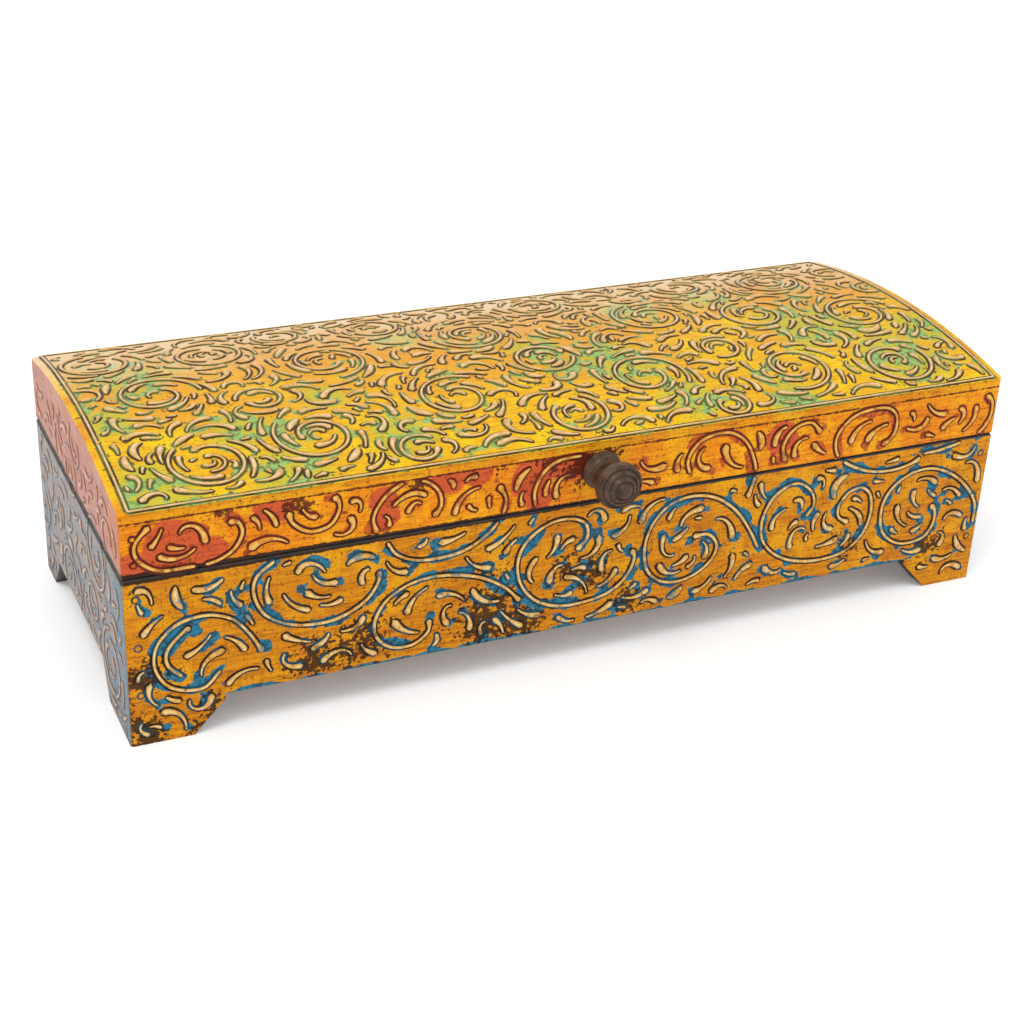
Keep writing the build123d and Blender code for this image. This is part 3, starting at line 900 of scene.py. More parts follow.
# Looks: the front's, and what each other side changes of it
front_look = {
    "grain": ((34, 34, 1.6), (13, 13, 0.65)), "scratch": (7.0, 7.0, 0.42), "crack": (5.0, 5.0, 60.0),
    "scratch_most": 0.6, "crack_most": 0.2, "speck_most": 0.55, "close_most": 0.3, "rough": 0.45,
    "ground": tone(226, 148, 6), "ground_deep": tone(200, 116, 6), "ground_light": tone(238, 166, 12),
    "patch": tone(206, 120, 20), "patch_range": (0.9, 1.4), "patch_most": 0.3, "patch_halo": 0.0,
    "halo": tone(4, 124, 154), "halo_deep": tone(2, 84, 108), "halo_range": (1.28, 1.305), "halo_most": 0.97,
    "darkening_gain": 0.4, "wear_range": (1.19, 1.31), "ink": tone(46, 24, 12),
    "outline": tone(26, 20, 16), "ink_most": 0.97, "ink_gap": 0.5, "line_tint": 0.8, "crest_specks": 0.4,
    # The cream is the paste's crest under a painted highlight; cream_deep is the paste off its crest
    "cream": tone(242, 214, 154), "cream_deep": tone(224, 170, 84), "cream_least": 0.3,
}
black_line = {"parting": tone(16, 12, 12)}
rail_look = {
    **front_look,
    "ground": tone(246, 154, 6), "ground_deep": tone(228, 120, 6), "ground_light": tone(252, 178, 16),
    "patch": tone(208, 84, 46), "patch_range": (1.0, 1.12), "patch_most": 0.94,
    "halo": tone(200, 84, 34), "halo_deep": tone(130, 42, 22), "halo_range": (1.27, 1.36), "halo_most": 0.85,
    "darkening_gain": 0.45, "ink": tone(84, 24, 12), "outline": tone(76, 20, 14),
    "ink_gap": 0.4, "line_tint": 0.5,
    "cream": tone(242, 198, 116), "cream_deep": tone(228, 164, 60), "joint": tone(70, 24, 10),
}
top_look = {
    **front_look,
    "grain": ((34, 1.8, 34), (12, 0.8, 12)), "scratch": (7.0, 0.5, 7.0), "crack": (5.0, 60.0, 5.0),
    "scratch_most": 0.45, "crack_most": 0.12, "speck_most": 0.3, "close_most": 0.35, "rough": 0.42,
    "ground": tone(250, 196, 4), "ground_deep": tone(238, 166, 10), "ground_light": tone(254, 212, 10),
    # The reflection wash is a painted reflection of the pale surroundings toward the top's back
    "warm": tone(240, 164, 30), "reflection_wash": tone(250, 224, 186), "margin": tone(238, 158, 14),
    "patch": tone(196, 194, 60), "patch_range": (0.85, 1.35), "patch_most": 0.75, "patch_halo": 0.26,
    "halo": tone(150, 196, 116), "halo_deep": tone(126, 160, 82),
    "halo_range": (1.34, 1.46), "halo_most": 0.9,
    "darkening_gain": 0.0, "wear_range": (1.1, 1.22), "ink": tone(88, 66, 36),
    "outline": tone(58, 52, 36), "ink_gap": 0.4, "line_tint": 0.35, "crest_specks": 0.15,
    "cream": tone(244, 214, 168), "cream_deep": tone(226, 176, 108), "cream_least": 0.7,
}
end_lid_look = {
    **front_look,
    "scratch_most": 0.3, "close_most": 0.25, "rough": 0.48,
    "ground": tone(206, 146, 126), "ground_deep": tone(188, 122, 104), "ground_light": tone(216, 160, 140),
    "patch": tone(214, 130, 84), "patch_range": (1.1, 1.6), "patch_most": 0.6,
    "halo": tone(168, 140, 150), "halo_deep": tone(132, 94, 84), "halo_range": (1.25, 1.4), "halo_most": 0.5,
    "darkening_gain": 0.0, "ink": tone(110, 66, 54),
    "outline": tone(112, 72, 60), "ink_most": 0.85, "ink_gap": 0.7, "line_tint": 0.5,
    "cream": tone(232, 196, 174), "cream_deep": tone(204, 150, 128),
}
end_case_look = {
    **end_lid_look,
    "ground": tone(160, 158, 158), "ground_deep": tone(146, 134, 126), "ground_light": tone(176, 168, 162),
    "patch": tone(96, 138, 156), "patch_range": (1.15, 1.6), "patch_most": 0.7,
    "halo": tone(120, 150, 172), "halo_deep": tone(108, 108, 114), "halo_range": (1.2, 1.3), "halo_most": 0.8,
    "darkening_gain": 0.34, "wear_range": (1.15, 1.3), "ink": tone(78, 64, 56), "outline": tone(88, 74, 68),
    "cream": tone(222, 204, 180), "cream_deep": tone(196, 158, 134),
}
band_look = {
    **rail_look,
    "ground": tone(240, 156, 12), "ground_deep": tone(226, 130, 8), "ground_light": tone(246, 176, 20),
    "patch_most": 0.0, "halo_most": 0.0,
}

paints = {
    "case_long": paint("case_long_paint", {**front_look, **black_line}),
    "lid_long": paint("lid_long_paint", {**rail_look, **black_line}),
    "top": paint("top_paint", top_look),
    "top_edge": paint("top_edge_paint", band_look),
    "case_end": paint("case_end_paint", {**end_case_look, **black_line}),
    "lid_end": paint("lid_end_paint", {**end_lid_look, **black_line}),
}


def plain_paint(name, colour, deep):
    """Thin uneven paint where nothing is ornamented."""
    graph = Graph(name)
    blot = graph.noise(9, 4.0, 0.6)
    fine = graph.noise((6, 6, 0.8), 3.0, 0.6, shift=4.0)
    shade = graph.mix(graph.step(blot, 0.35, 0.65), colour, deep)
    return graph.finish(
        Base_Color=shade, Roughness=graph.step(fine, 0.3, 0.7, 0.4, 0.62),
        Normal=graph.bump(fine, 0.1, 0.6),
    )


def wood(name, light, dark, grain):
    """Bare or stained wood with long grain."""
    graph = Graph(name)
    rings = graph.noise(grain, 6.0, 0.62, distortion=0.6)
    pores = graph.noise([size * 0.3 for size in grain], 2.0, 0.6, shift=5.0)
    blot = graph.noise(40, 2.0, 0.5, shift=8.0)
    shade = graph.mix(graph.step(rings, 0.34, 0.68), light, dark)
    shade = graph.cover(shade, pores, (0.6, 0.75), 0.5, dark)
    shade = graph.cover(shade, blot, (0.4, 0.75), 0.35, dark)
    return graph.finish(
        Base_Color=shade, Roughness=graph.step(pores, 0.3, 0.7, 0.52, 0.7),
        Normal=graph.bump(rings, 0.12, 0.6),
    )


def metal(name, light, dark, rough):
    """Old metal: dull, darker in blots, with fine scratches."""
    graph = Graph(name)
    blot = graph.noise(2.4, 4.0, 0.65)
    scratch = graph.noise((7, 0.25, 0.25), 2.0, 0.6, shift=6.0)
    shade = graph.mix(graph.step(blot, 0.38, 0.68), light, dark)
    return graph.finish(
        Base_Color=shade, Metallic=1.0, Roughness=graph.step(blot, 0.3, 0.7, rough, rough + 0.25),
        Normal=graph.bump(scratch, 0.02, 0.5),
    )


def felt_material():
    """Matte felt with a loose nap."""
    graph = Graph("felt_cloth")
    nap = graph.noise(0.5, 5.0, 0.7)
    blot = graph.noise(14, 3.0, 0.6, shift=3.0)
    shade = graph.mix(graph.step(nap, 0.35, 0.65), srgb(126, 14, 20), srgb(78, 6, 12))
    shade = graph.cover(shade, blot, (0.4, 0.7), 0.5, srgb(96, 10, 16))
    return graph.finish(
        Base_Color=shade, Roughness=0.95, Sheen_Weight=0.12, Sheen_Roughness=0.4, Specular_IOR_Level=0.1,
        Normal=graph.bump(nap, 0.25, 0.8),
    )


case_wood = wood("case_wood", srgb(168, 124, 82), srgb(112, 76, 46), (70, 3.0, 3.0))
end_wood = wood("end_wood", srgb(164, 120, 80), srgb(106, 72, 44), (3.0, 60, 3.0))
black_edge = plain_paint("black_edge", srgb(24, 18, 16), srgb(44, 30, 22))
groove_edge = plain_paint("groove_edge", srgb(26, 18, 16), srgb(52, 32, 20))
brass = metal("aged_brass", srgb(176, 138, 72), srgb(104, 76, 38), 0.32)
steel = metal("dull_steel", srgb(120, 114, 108), srgb(70, 62, 56), 0.4)


# Making meshes


def set_values(mesh, values):
    """Stores the numbers that the materials read, one to a point."""
    for key, numbers in values.items():
        mesh.attributes.new(key, "FLOAT", "POINT").data.foreach_set("value", np.asarray(numbers, np.float32))


def make_piece(name, points, faces, body, materials, values=None, angle=30.0):
    """A piece from points in mm, riding on a body, with the values that its material reads."""
    mesh = bpy.data.meshes.new(name)
    mesh.from_pydata((np.asarray(points) * MM).tolist(), [], [tuple(face) for face in faces])
    set_values(mesh, values or {})
    return dress(name, mesh, body, materials, angle)


def dress(name, mesh, body, materials, angle=30.0):
    """Finishes a mesh as a piece: outward normals, soft shading, materials and body."""
    bm = bmesh.new()
    bm.from_mesh(mesh)
    bmesh.ops.recalc_face_normals(bm, faces=bm.faces)
    bm.to_mesh(mesh)
    bm.free()
    for material in materials:
        mesh.materials.append(material)
    mesh.shade_smooth()
    mesh.set_sharp_from_angle(angle=math.radians(angle))
    piece = bpy.data.objects.new(name, mesh)
    bpy.context.scene.collection.objects.link(piece)
    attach(piece, body)
    return piece


def band_faces(first, second, closed=True):
    """Four-sided faces between two lines of as many points, given by their numbers."""
    first, second = list(first), list(second)
    if closed:
        first, second = first + first[:1], second + second[:1]
    return list(zip(first, first[1:], second[1:], second))


# Painted boards: fine copies of the frame's boards, split where the paint is looked up

field_names = ("halo", "close", "patch", "darkening_and_sheen")
value_names = field_names + ("ink", "crest")


def side_of(face):
    """The sheet that a face lies on, or None for one inside the box."""
    centre = face.calc_center_median() / MM
    for name, (origin, _, outwards) in flat_sides.items():
        axis = 0 if outwards[0] else 1
        if face.normal[axis] * outwards[axis] > 0.75 and abs(centre[axis] - origin[axis]) < 1.0:
            return name
    return None


def split_along(bm, faces, axis, cell):
    """Splits these faces by evenly spaced planes, always working on what is still ahead."""
    direction = Vector((0, 0, 0))
    direction[axis] = 1
    low = min(vert.co[axis] for face in faces for vert in face.verts)
    high = max(vert.co[axis] for face in faces for vert in face.verts)
    steps = max(int((high - low) / (cell * MM)), 1)
    ahead = list(faces)
    done = []
    for index in range(1, steps):
        place = low + (high - low) * index / steps
        edges = {edge for face in ahead for edge in face.edges}
        verts = {vert for face in ahead for vert in face.verts}
        cut = bmesh.ops.bisect_plane(
            bm, geom=ahead + list(edges) + list(verts), dist=1e-7,
            plane_co=direction * place, plane_no=direction,
        )
        pieces = [item for item in cut["geom"] if isinstance(item, bmesh.types.BMFace)]
        ahead = [face for face in pieces if face.calc_center_median()[axis] > place]
        done += [face for face in pieces if face.calc_center_median()[axis] <= place]
    return done + ahead


# Dark edges: how far from the parting and how far in they go, how far the faces that slope to it reach, and
# how far above the gap between the feet the sawn edges are black
groove_reach = 2.9
groove_depth = 2.8
bevel_reach = 0.95
foot_edge_reach = 0.5


def board_paint(side, centre, normal):
    """Which of a painted board's materials a face takes."""
    from_parting = abs(centre.z - parting)
    if side is None:
        if centre.z < foot_height + foot_edge_reach:
            return "black"
        outer = max(abs(centre.x) - half_length, abs(centre.y - middle_y) - half_depth) > -groove_depth
        return "groove" if from_parting < groove_reach and outer else "wood"
    if from_parting < bevel_reach and abs(normal.z) > 0.3:
        return "groove"
    half = "lid" if centre.z > parting else "case"
    return half + ("_end" if side in ("left", "right") else "_long")


def painted_board(node, bare):
    """A fine copy of a board, whose painted faces carry the halo, closeness, patch and darkening values."""
    source = frame["nodes"][node]
    bm = bmesh.new()
    bm.from_mesh(source.data)
    bmesh.ops.remove_doubles(bm, verts=bm.verts, dist=1e-6)
    by_side = {}
    for face in bm.faces:
        side = side_of(face)
        if side:
            by_side.setdefault(side, []).append(face)
    for side, faces in by_side.items():
        level_axis = 0 if flat_sides[side][1][0] else 1
        for axis in (level_axis, 2):
            faces = split_along(bm, faces, axis, paint_cell)
    bm.normal_update()
    kinds = {
        "case_long": paints["case_long"], "lid_long": paints["lid_long"], "case_end": paints["case_end"],
        "lid_end": paints["lid_end"], "wood": bare, "black": black_edge, "groove": groove_edge,
    }
    names = list(kinds)
    verts_of = {}
    for face in bm.faces:
        side = side_of(face)
        face.material_index = names.index(board_paint(side, face.calc_center_median() / MM, face.normal))
        if side:
            verts_of.setdefault(side, set()).update(face.verts)
    bm.verts.index_update()
    bm.verts.ensure_lookup_table()
    values = {key: np.zeros(len(bm.verts)) for key in value_names}
    for side, verts in verts_of.items():
        order = np.array(sorted(vert.index for vert in verts))
        points = np.array([bm.verts[int(index)].co for index in order]) / MM
        sheet = sheets[side]
        for key, numbers in paint_fields(sheet, *sheet.unplace(points)).items():
            values[key][order] = np.maximum(values[key][order], numbers)
    mesh = bpy.data.meshes.new("painted_" + node)
    bm.to_mesh(mesh)
    bm.free()
    set_values(mesh, values)
    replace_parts(dress("painted_" + node, mesh, source["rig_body"], list(kinds.values())), node)


for node, slot_name, bare in (
    ("front_panel", "orange_paint", case_wood), ("back_panel", "orange_paint", case_wood),
    ("left_end_panel", "grey_paint", end_wood), ("right_end_panel", "grey_paint", end_wood),
    ("lid_front_rail", "orange_paint", case_wood), ("lid_back_rail", "orange_paint", case_wood),
    ("lid_left_end", "pink_paint", end_wood), ("lid_right_end", "pink_paint", end_wood),
):
    painted_board(node, bare)


def painted_top():
    """The bent top: paint above, an orange band along its long edges, wood beneath."""
    ease = 0.6
    corner = 1.2
    cells_u = max(int(2 * half_length / paint_cell), 8)
    cells_v = max(int(2 * arc_half / paint_cell), 8)
    lines = []
    for half, cells in ((half_length, cells_u), (arc_half, cells_v)):
        rim = half - np.array([0, ease / 2, ease])
        lines.append(np.concatenate([-rim, np.linspace(corner - half, half - corner, cells), rim[::-1]]))
    u, v = np.meshgrid(*lines, indexing="ij")
    to_end = half_length - np.abs(u)
    to_side = arc_half - np.abs(v)
    pinch = corner - np.sqrt(corner ** 2 - np.clip(corner - to_end, 0, corner) ** 2)
    drop = np.maximum(0, np.maximum(ease - to_end, ease - to_side))
    y = dome_radius * np.sin(v / dome_radius) * (1 - pinch / half_depth)
    upper = np.stack([u, middle_y + y, dome_centre_z + np.sqrt((dome_radius - drop) ** 2 - y ** 2)], -1)
    inner_radius = dome_radius - top_thickness
    lower = np.stack([u, middle_y + y, dome_centre_z + np.sqrt(inner_radius ** 2 - y ** 2)], -1)
    rows, columns = u.shape
    index = np.arange(rows * columns).reshape(rows, columns)
    beneath = index + rows * columns
    square = [index[:-1, :-1], index[1:, :-1], index[1:, 1:], index[:-1, 1:]]
    faces = np.stack([corners.ravel() for corners in square], -1).tolist()
    paint_kind, edge_kind, end_kind, wood_kind = range(4)
    kinds = [paint_kind] * len(faces)
    faces += np.stack([(corners + rows * columns).ravel() for corners in square[::-1]], -1).tolist()
    kinds += [wood_kind] * (len(faces) - len(kinds))
    edges = [(index[:, end], beneath[:, end], edge_kind) for end in (0, -1)]
    edges += [(index[end], beneath[end], end_kind) for end in (0, -1)]
    for line, low_line, kind in edges:
        faces += band_faces(line.tolist(), low_line.tolist(), closed=False)
        kinds += [kind] * (len(line) - 1)
    found = paint_fields(sheets["top"], u.ravel(), v.ravel())
    values = {key: np.concatenate([numbers, np.zeros(rows * columns)]) for key, numbers in found.items()}
    points = np.concatenate([upper.reshape(-1, 3), lower.reshape(-1, 3)])
    materials = [paints["top"], paints["top_edge"], paints["lid_end"], case_wood]
    piece = make_piece("painted_lid_top", points, faces, "lid", materials, values)
    piece.data.polygons.foreach_set("material_index", kinds)
    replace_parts(piece, "lid_top")


painted_top()


# Raised paste

cap_turns = [math.radians(turn) for turn in (8, 32, 56, 76)]

# How much crest and ink each point of a ring has, and which points lie on the paste
section_crest = np.array([[0, 0, 0.7, 1, 0.7, 0, 0]])
section_ink = np.array([[0, 1, 0.2, 0, 0.2, 1, 0]])
section_inside = np.array([[0, 1, 1, 1, 1, 1, 0]])


def ring_places(length, first, last):
    """Where along a stroke its rings stand: close at both ends, evenly between."""
    head = [-skirt_width + (first + skirt_width) * (1 - math.cos(turn)) for turn in cap_turns]
    tail = [length + skirt_width - (last + skirt_width) * (1 - math.cos(turn)) for turn in cap_turns]
    low, high = first, length - last
    if high > low:
        middle = list(np.linspace(low, high, max(int((high - low) / ring_spacing), 1) + 1))
    else:
        middle = [length / 2]
    ends = [-skirt_width, end_ring_inset, length - end_ring_inset, length + skirt_width]
    return np.array(sorted(set(ends + head + middle + tail)))


def rounding(places, length, first, last, grown):
    """How a stroke's half width closes in at its round ends, grown by the skirt or not."""
    radius_first, radius_last = first + grown, last + grown
    head = np.clip((places + grown) / radius_first, 0, 1)
    tail = np.clip((length + grown - places) / radius_last, 0, 1)
    return np.sqrt(1 - (1 - head) ** 2) * np.sqrt(1 - (1 - tail) ** 2)


def stroke_rings(stroke, relief):
    """The rings of one stroke: (u, v, lift), ink and crest for seven points of each."""
    half = stroke.length / 2
    first = min(stroke.widths[0], half * most_end_share)
    last = min(stroke.widths[-1], half * most_end_share)
    places = ring_places(stroke.length, first, last)
    inside = np.clip(places, 0, stroke.length)
    spine = np.stack([np.interp(inside, stroke.along, stroke.path[:, axis]) for axis in (0, 1)], -1)
    tangents = np.gradient(stroke.path, axis=0)
    tangents /= np.maximum(np.hypot(tangents[:, 0], tangents[:, 1]), 1e-9)[:, None]
    ahead = np.stack([np.interp(inside, stroke.along, tangents[:, axis]) for axis in (0, 1)], -1)
    ahead /= np.maximum(np.hypot(ahead[:, 0], ahead[:, 1]), 1e-9)[:, None]
    spine += ahead * (places - inside)[:, None]
    side = np.stack([-ahead[:, 1], ahead[:, 0]], -1)
    plump = np.interp(inside, stroke.along, stroke.widths)
    width = plump * rounding(places, stroke.length, first, last, 0.0)
    skirt = (plump + skirt_width) * rounding(places, stroke.length, first, last, skirt_width)
    skirt = np.maximum(skirt, width + least_skirt)
    height = height_slope * width + base_height * np.minimum(1, width / base_width)
    height = np.minimum(height, most_height)
    height = height * relief * (frame_height_share if stroke.kind == "frame" else 1.0)
    beyond = np.maximum(-places, places - stroke.length) / skirt_width
    inner = shoulder_share * width
    offsets = np.stack([-skirt, -width, -inner, np.zeros_like(width), inner, width, skirt], -1)
    edge = np.full_like(width, rim_lift)
    sunk = np.full_like(width, -skirt_sink)
    shoulder = rim_lift + shoulder_height_share * height
    lifts = np.stack([sunk, edge, shoulder, rim_lift + height, shoulder, edge, sunk], -1)
    outside = np.clip(beyond, 0, 1)[:, None]
    lifts = np.where(outside > 0, -skirt_sink + (rim_lift + skirt_sink) * (1 - outside) * (lifts > 0), lifts)
    solid = np.clip(width / solid_width, 0, 1)[:, None]
    crest = section_crest * solid
    ink = np.maximum(section_ink * (1 - outside), section_inside * (1 - outside) * (1 - solid))
    u = spine[:, 0][:, None] + side[:, 0][:, None] * offsets
    v = spine[:, 1][:, None] + side[:, 1][:, None] * offsets
    return u, v, lifts, ink, crest


def raise_paste(sheet, body, kinds, name, material):
    """One mesh for all strokes of these kinds on one body's share of a sheet."""
    flat = {"u": [], "v": [], "lift": [], "ink": [], "crest": []}
    faces = []
    start = 0
    for stroke in sheet.strokes:
        on_lid = sheet.name == "top" or stroke.path[:, 1].mean() > parting
        if stroke.kind not in kinds or on_lid != (body == "lid"):
            continue
        rings = stroke_rings(stroke, sheet.relief)
        for key, grid in zip(flat, rings):
            flat[key].append(grid.ravel())
        end = start + rings[0].size
        numbers = np.arange(start, end).reshape(-1, ring_points).tolist()
        for ring, following in zip(numbers, numbers[1:]):
            faces += band_faces(ring, following)
        faces += [tuple(numbers[0]), tuple(numbers[-1])]
        start = end
    grids = {key: np.concatenate(pieces) for key, pieces in flat.items()}
    values = {**paint_fields(sheet, grids["u"], grids["v"]), "ink": grids["ink"], "crest": grids["crest"]}
    points = sheet.place(grids["u"], grids["v"], grids["lift"])
    make_piece(name, points, faces, body, [material], values, angle=60.0)


for side, direction in (("front", "long"), ("back", "long"), ("left", "end"), ("right", "end")):
    for body in ("case", "lid"):
        end_slot = "grey_paint" if body == "case" else "pink_paint"
        slot_name = "orange_paint" if direction == "long" else end_slot
        for kind, word in (("scroll", "scrolls"), ("filler", "commas")):
            material = paints[f"{body}_{direction}"]
            raise_paste(sheets[side], body, (kind,), f"{side}_{body}_{word}", material)
raise_paste(sheets["top"], "lid", ("scroll", "frame"), "top_scrolls", paints["top"])
raise_paste(sheets["top"], "lid", ("filler",), "top_commas", paints["top"])


# Heads of nails and brads, thick with paint

nail_inset = 5.0
case_nail_heights = (66.0, 44.5, 23.0)
lid_nail_heights = (81.0, 92.0)
brad_inset = 5.0
long_brads = (-180.0, -90.0, 0.0, 90.0, 180.0)
end_brad_reach = 30.25
nail_head_radius = 1.75
brad_head_radius = 1.1
head_sides = 20


def painted_heads(name, node, body, spots, radius, material):
    """Low domes, one to a nail: (sheet, u, v), with grime caught round each."""
    profile = [(1.0, -0.15), (1.0, 0.04), (0.86, 0.17), (0.5, 0.27), (0.0, 0.3)]
    turn = np.linspace(0, 2 * math.pi, head_sides, endpoint=False)
    points, faces = [], []
    values = {key: [] for key in value_names}
    for side, u, v in spots:
        sheet = sheets[side]
        found = paint_fields(sheet, np.full(head_sides, u), np.full(head_sides, v))
        start = len(values["ink"])
        for share, lift in profile:
            reach = max(share * radius, 0.01)
            points.append(sheet.place(u + reach * np.cos(turn), v + reach * np.sin(turn), lift))
            for key in field_names:
                values[key] += list(found[key])
            values["crest"] += [0.0] * head_sides
            values["ink"] += [0.9 if share > 0.9 else 0.7 * share] * head_sides
        rings = np.arange(start, start + len(profile) * head_sides).reshape(-1, head_sides).tolist()
        for ring, following in zip(rings, rings[1:]):
            faces += band_faces(ring, following)
        faces += [tuple(rings[0]), tuple(rings[-1])]
    piece = make_piece(name, np.concatenate(points), faces, body, [material], values, angle=50.0)
    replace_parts(piece, node)


def corner_spots(heights):
    """Both ends of the front and of the back, at these heights."""
    reach = half_length - nail_inset
    return [(side, u, v) for side in ("front", "back") for u in (-reach, reach) for v in heights]


def brad_spots():
    """Along the top's long edges and across its ends."""
    long_v = dome_radius * math.asin((half_depth - brad_inset) / dome_radius)
    end_v = dome_radius * math.asin(end_brad_reach / dome_radius)
    end_u = half_length - nail_inset
    spots = [("top", u, v) for u in long_brads for v in (-long_v, long_v)]
    return spots + [("top", u, v) for u in (-end_u, end_u) for v in (-end_v, end_v)]


case_spots = corner_spots(case_nail_heights)
lid_spots = corner_spots(lid_nail_heights)
painted_heads("case_nail_heads", "case_nails", "case", case_spots, nail_head_radius, paints["case_long"])
painted_heads("lid_nail_heads", "lid_nails", "lid", lid_spots, nail_head_radius, paints["lid_long"])
painted_heads("top_brad_heads", "top_brads", "lid", brad_spots(), brad_head_radius, paints["top"])


# Knob: a smooth turned form around the frame's own

knob_segments = 96


def knob_material():
    """Dark turned wood with fine rings left by the tool."""
    graph = Graph("knob_wood")
    x = graph.axis("X")
    z = graph.math("SUBTRACT", graph.axis("Z"), knob_z)
    reach = graph.math("SQRT", graph.math("ADD", graph.math("MULTIPLY", x, x), graph.math("MULTIPLY", z, z)))
    rings = graph.math("SINE", graph.math("MULTIPLY", reach, 9.0))
    blot = graph.noise((4, 9, 4), 4.0, 0.6)
    fine = graph.noise((1.2, 6, 1.2), 3.0, 0.6, shift=4.0)
    shade = graph.mix(graph.step(blot, 0.35, 0.7), srgb(78, 54, 36), srgb(38, 26, 18))
    shade = graph.cover(shade, rings, (0.3, 0.95), 0.35, srgb(104, 78, 54))
    shade = graph.cover(shade, fine, (0.56, 0.68), 0.7, srgb(22, 14, 10))
    height = graph.math("ADD", graph.math("MULTIPLY", rings, 0.35), fine)
    return graph.finish(
        Base_Color=shade, Roughness=graph.step(blot, 0.3, 0.7, 0.36, 0.5),
        Normal=graph.bump(height, 0.12, 0.6), Coat_Weight=0.05, Coat_Roughness=0.3, Specular_IOR_Level=0.3,
    )


def knob_outline():
    """Radius and distance from the rail of the turned profile, foot to nub."""
    outline = [(0.0, 0.02), (8.3, 0.02), (8.5, 0.3), (8.5, 1.3), (8.2, 1.7)]
    for step in range(1, 9):
        turn = math.radians(90 * step / 8)
        outline.append((8.5 - 3.1 * math.sin(turn), 7.0 - 5.3 * math.cos(turn)))
    outline += [(6.4, 10.2), (8.6, 12.9), (9.7, 14.0), (10.0, 14.7), (10.0, 16.9), (9.8, 17.8), (9.2, 18.5)]
    radius, height = 8.8, 18.7
    for _ in range(3):
        outline += [(radius, height), (radius - 0.35, height - 0.4), (radius - 0.7, height - 0.3)]
        outline += [(radius - 1.2, height + 0.75), (radius - 1.8, height + 1.3)]
        radius, height = radius - 2.2, height + 1.4
    outline += [(2.2, 23.0), (1.9, 23.45), (1.2, 23.7), (0.0, 23.78)]
    return outline


def make_knob():
    """The turned knob."""
    outline = knob_outline()
    turn = np.linspace(0, 2 * math.pi, knob_segments, endpoint=False)
    points = []
    for radius, height in outline:
        wide = max(radius, 0.001)
        y = np.full(knob_segments, front_y - height)
        points.append(np.stack([wide * np.cos(turn), y, knob_z + wide * np.sin(turn)], -1))
    rings = np.arange(len(outline) * knob_segments).reshape(-1, knob_segments).tolist()
    faces = []
    for ring, following in zip(rings, rings[1:]):
        faces += band_faces(ring, following)
    faces += [tuple(rings[0]), tuple(rings[-1])]
    points = np.concatenate(points)
    knob = make_piece("turned_knob", points, faces, "lid", [knob_material()], angle=40.0)
    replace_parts(knob, "knob")


make_knob()


# Felt, laid on the floor board

def make_felt():
    """The lining: a thin sheet with soft edges that lies a little unevenly."""
    low, high = (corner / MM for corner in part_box("floor_lining"))
    columns, rows = 120, 44
    wave_height = 0.16
    edge_drop, edge_reach = 0.35, 1.2
    wave_room = 0.18
    under_gap = 0.02
    rng = np.random.default_rng(5)
    shape = (rows + 1, columns + 1)
    wave = rng.normal(size=shape)
    for _ in range(6):
        neighbours = [np.roll(wave, move, axis) for axis in (0, 1) for move in (1, -1)]
        wave = sum(neighbours, wave) / 5
    wave = wave_height * wave / np.abs(wave).max()
    x = np.linspace(low.x, high.x, columns + 1)
    y = np.linspace(low.y, high.y, rows + 1)
    grid_x, grid_y = np.meshgrid(x, y)
    sides = [grid_x - low.x, high.x - grid_x, grid_y - low.y, high.y - grid_y]
    edge = edge_drop * np.exp(-np.minimum.reduce(sides) / edge_reach)
    upper = np.stack([grid_x, grid_y, high.z - wave_room + wave - edge], -1).reshape(-1, 3)
    lower = np.stack([grid_x, grid_y, np.full(shape, low.z + under_gap)], -1).reshape(-1, 3)
    points = np.concatenate([upper, lower])
    total = len(upper)
    index = np.arange(total).reshape(shape)
    faces = []
    for first, second in zip(index.tolist(), index[1:].tolist()):
        for a, b, c, d in band_faces(first, second, closed=False):
            faces += [(a, b, c, d), (total + a, total + d, total + c, total + b)]
    rim = np.concatenate([index[0, :-1], index[:-1, -1], index[-1, :0:-1], index[:0:-1, 0]]).tolist()
    for first, last in zip(rim, rim[1:] + rim[:1]):
        faces.append((first, total + first, total + last, last))
    felt = make_piece("felt_lining", points, faces, "case", [felt_material()], angle=50.0)
    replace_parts(felt, "floor_lining")


make_felt()


# Finishes of the frame's own pieces

def finish_node(node, material):
    """Gives a CAD node its material."""
    slots = frame["nodes"][node].data.materials
    slots.clear()
    slots.append(material)


finish_node("floor_board", case_wood)
finish_node("knob_screw", steel)
for hand in ("left", "right"):
    for part in ("case_leaf", "lid_leaf", "pin"):
        finish_node(f"{hand}_hinge_{part}", brass)
finish_node("case_hinge_screws", brass)
finish_node("lid_hinge_screws", brass)


# Floor, light and camera

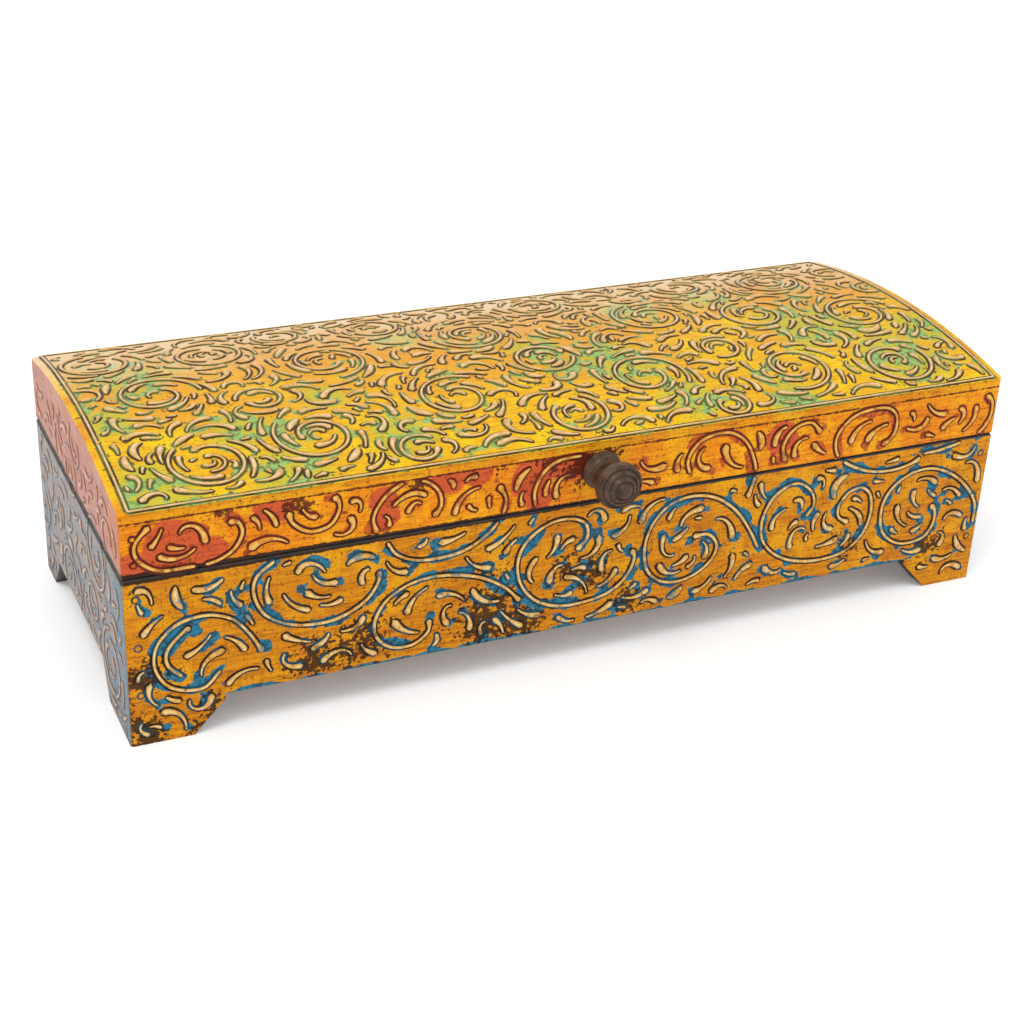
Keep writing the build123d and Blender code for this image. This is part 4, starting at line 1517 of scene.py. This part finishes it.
def make_floor():
    """A pale floor that fades into the pale surroundings."""
    mesh = bpy.data.meshes.new("floor")
    reach = 6.0
    corners = [(-reach, -reach, 0), (reach, -reach, 0), (reach, reach, 0), (-reach, reach, 0)]
    mesh.from_pydata(corners, [], [(0, 1, 2, 3)])
    floor = bpy.data.objects.new("floor", mesh)
    bpy.context.scene.collection.objects.link(floor)
    graph = Graph("floor_white")
    white = (1.0, 1.0, 1.0, 1.0)
    pale = (0.93, 0.93, 0.93, 1)
    mesh.materials.append(graph.finish(
        Base_Color=pale, Roughness=0.9, Emission_Color=white, Emission_Strength=0.12,
    ))


def make_light(name, place, target, size, power):
    """A soft area light aimed at a point."""
    data = bpy.data.lights.new(name, "AREA")
    data.size = size
    data.energy = power
    light = bpy.data.objects.new(name, data)
    light.location = place
    light.rotation_mode = "QUATERNION"
    light.rotation_quaternion = (Vector(target) - Vector(place)).to_track_quat("-Z", "Y")
    bpy.context.scene.collection.objects.link(light)


def make_world():
    """Even pale light from all round."""
    world = bpy.data.worlds.new("studio")
    bpy.context.scene.world = world
    world.use_nodes = True
    background = world.node_tree.nodes["Background"]
    background.inputs["Color"].default_value = (1.0, 1.0, 1.0, 1.0)
    background.inputs["Strength"].default_value = 1.0


def make_camera():
    """The photograph's viewpoint, worked out from the box's corners."""
    place = Vector((-328.9, -678.4, 429.4)) * MM
    turn, rise, roll = math.radians(25.28), math.radians(27.52), math.radians(2.69)
    ahead = Vector((math.sin(turn) * math.cos(rise), math.cos(turn) * math.cos(rise), -math.sin(rise)))
    right = Vector((math.cos(turn), -math.sin(turn), 0))
    up = right.cross(ahead)
    rolled_right = math.cos(roll) * right + math.sin(roll) * up
    rolled_up = math.cos(roll) * up - math.sin(roll) * right
    data = bpy.data.cameras.new("camera")
    data.lens = 66.13
    data.sensor_width = 36.0
    data.sensor_fit = "HORIZONTAL"
    camera = bpy.data.objects.new("camera", data)
    axes = Matrix((rolled_right, rolled_up, -ahead)).transposed().to_4x4()
    axes.translation = place
    camera.matrix_world = axes
    bpy.context.scene.collection.objects.link(camera)
    bpy.context.scene.camera = camera


make_floor()
make_world()
make_light("key", (-0.7, -0.5, 1.5), (0, 0, 0.05), 0.6, 9.0)
make_light("fill", (1.4, -0.9, 0.9), (0, 0, 0.05), 1.2, 4.0)
make_camera()
bpy.context.scene.view_settings.view_transform = "Standard"
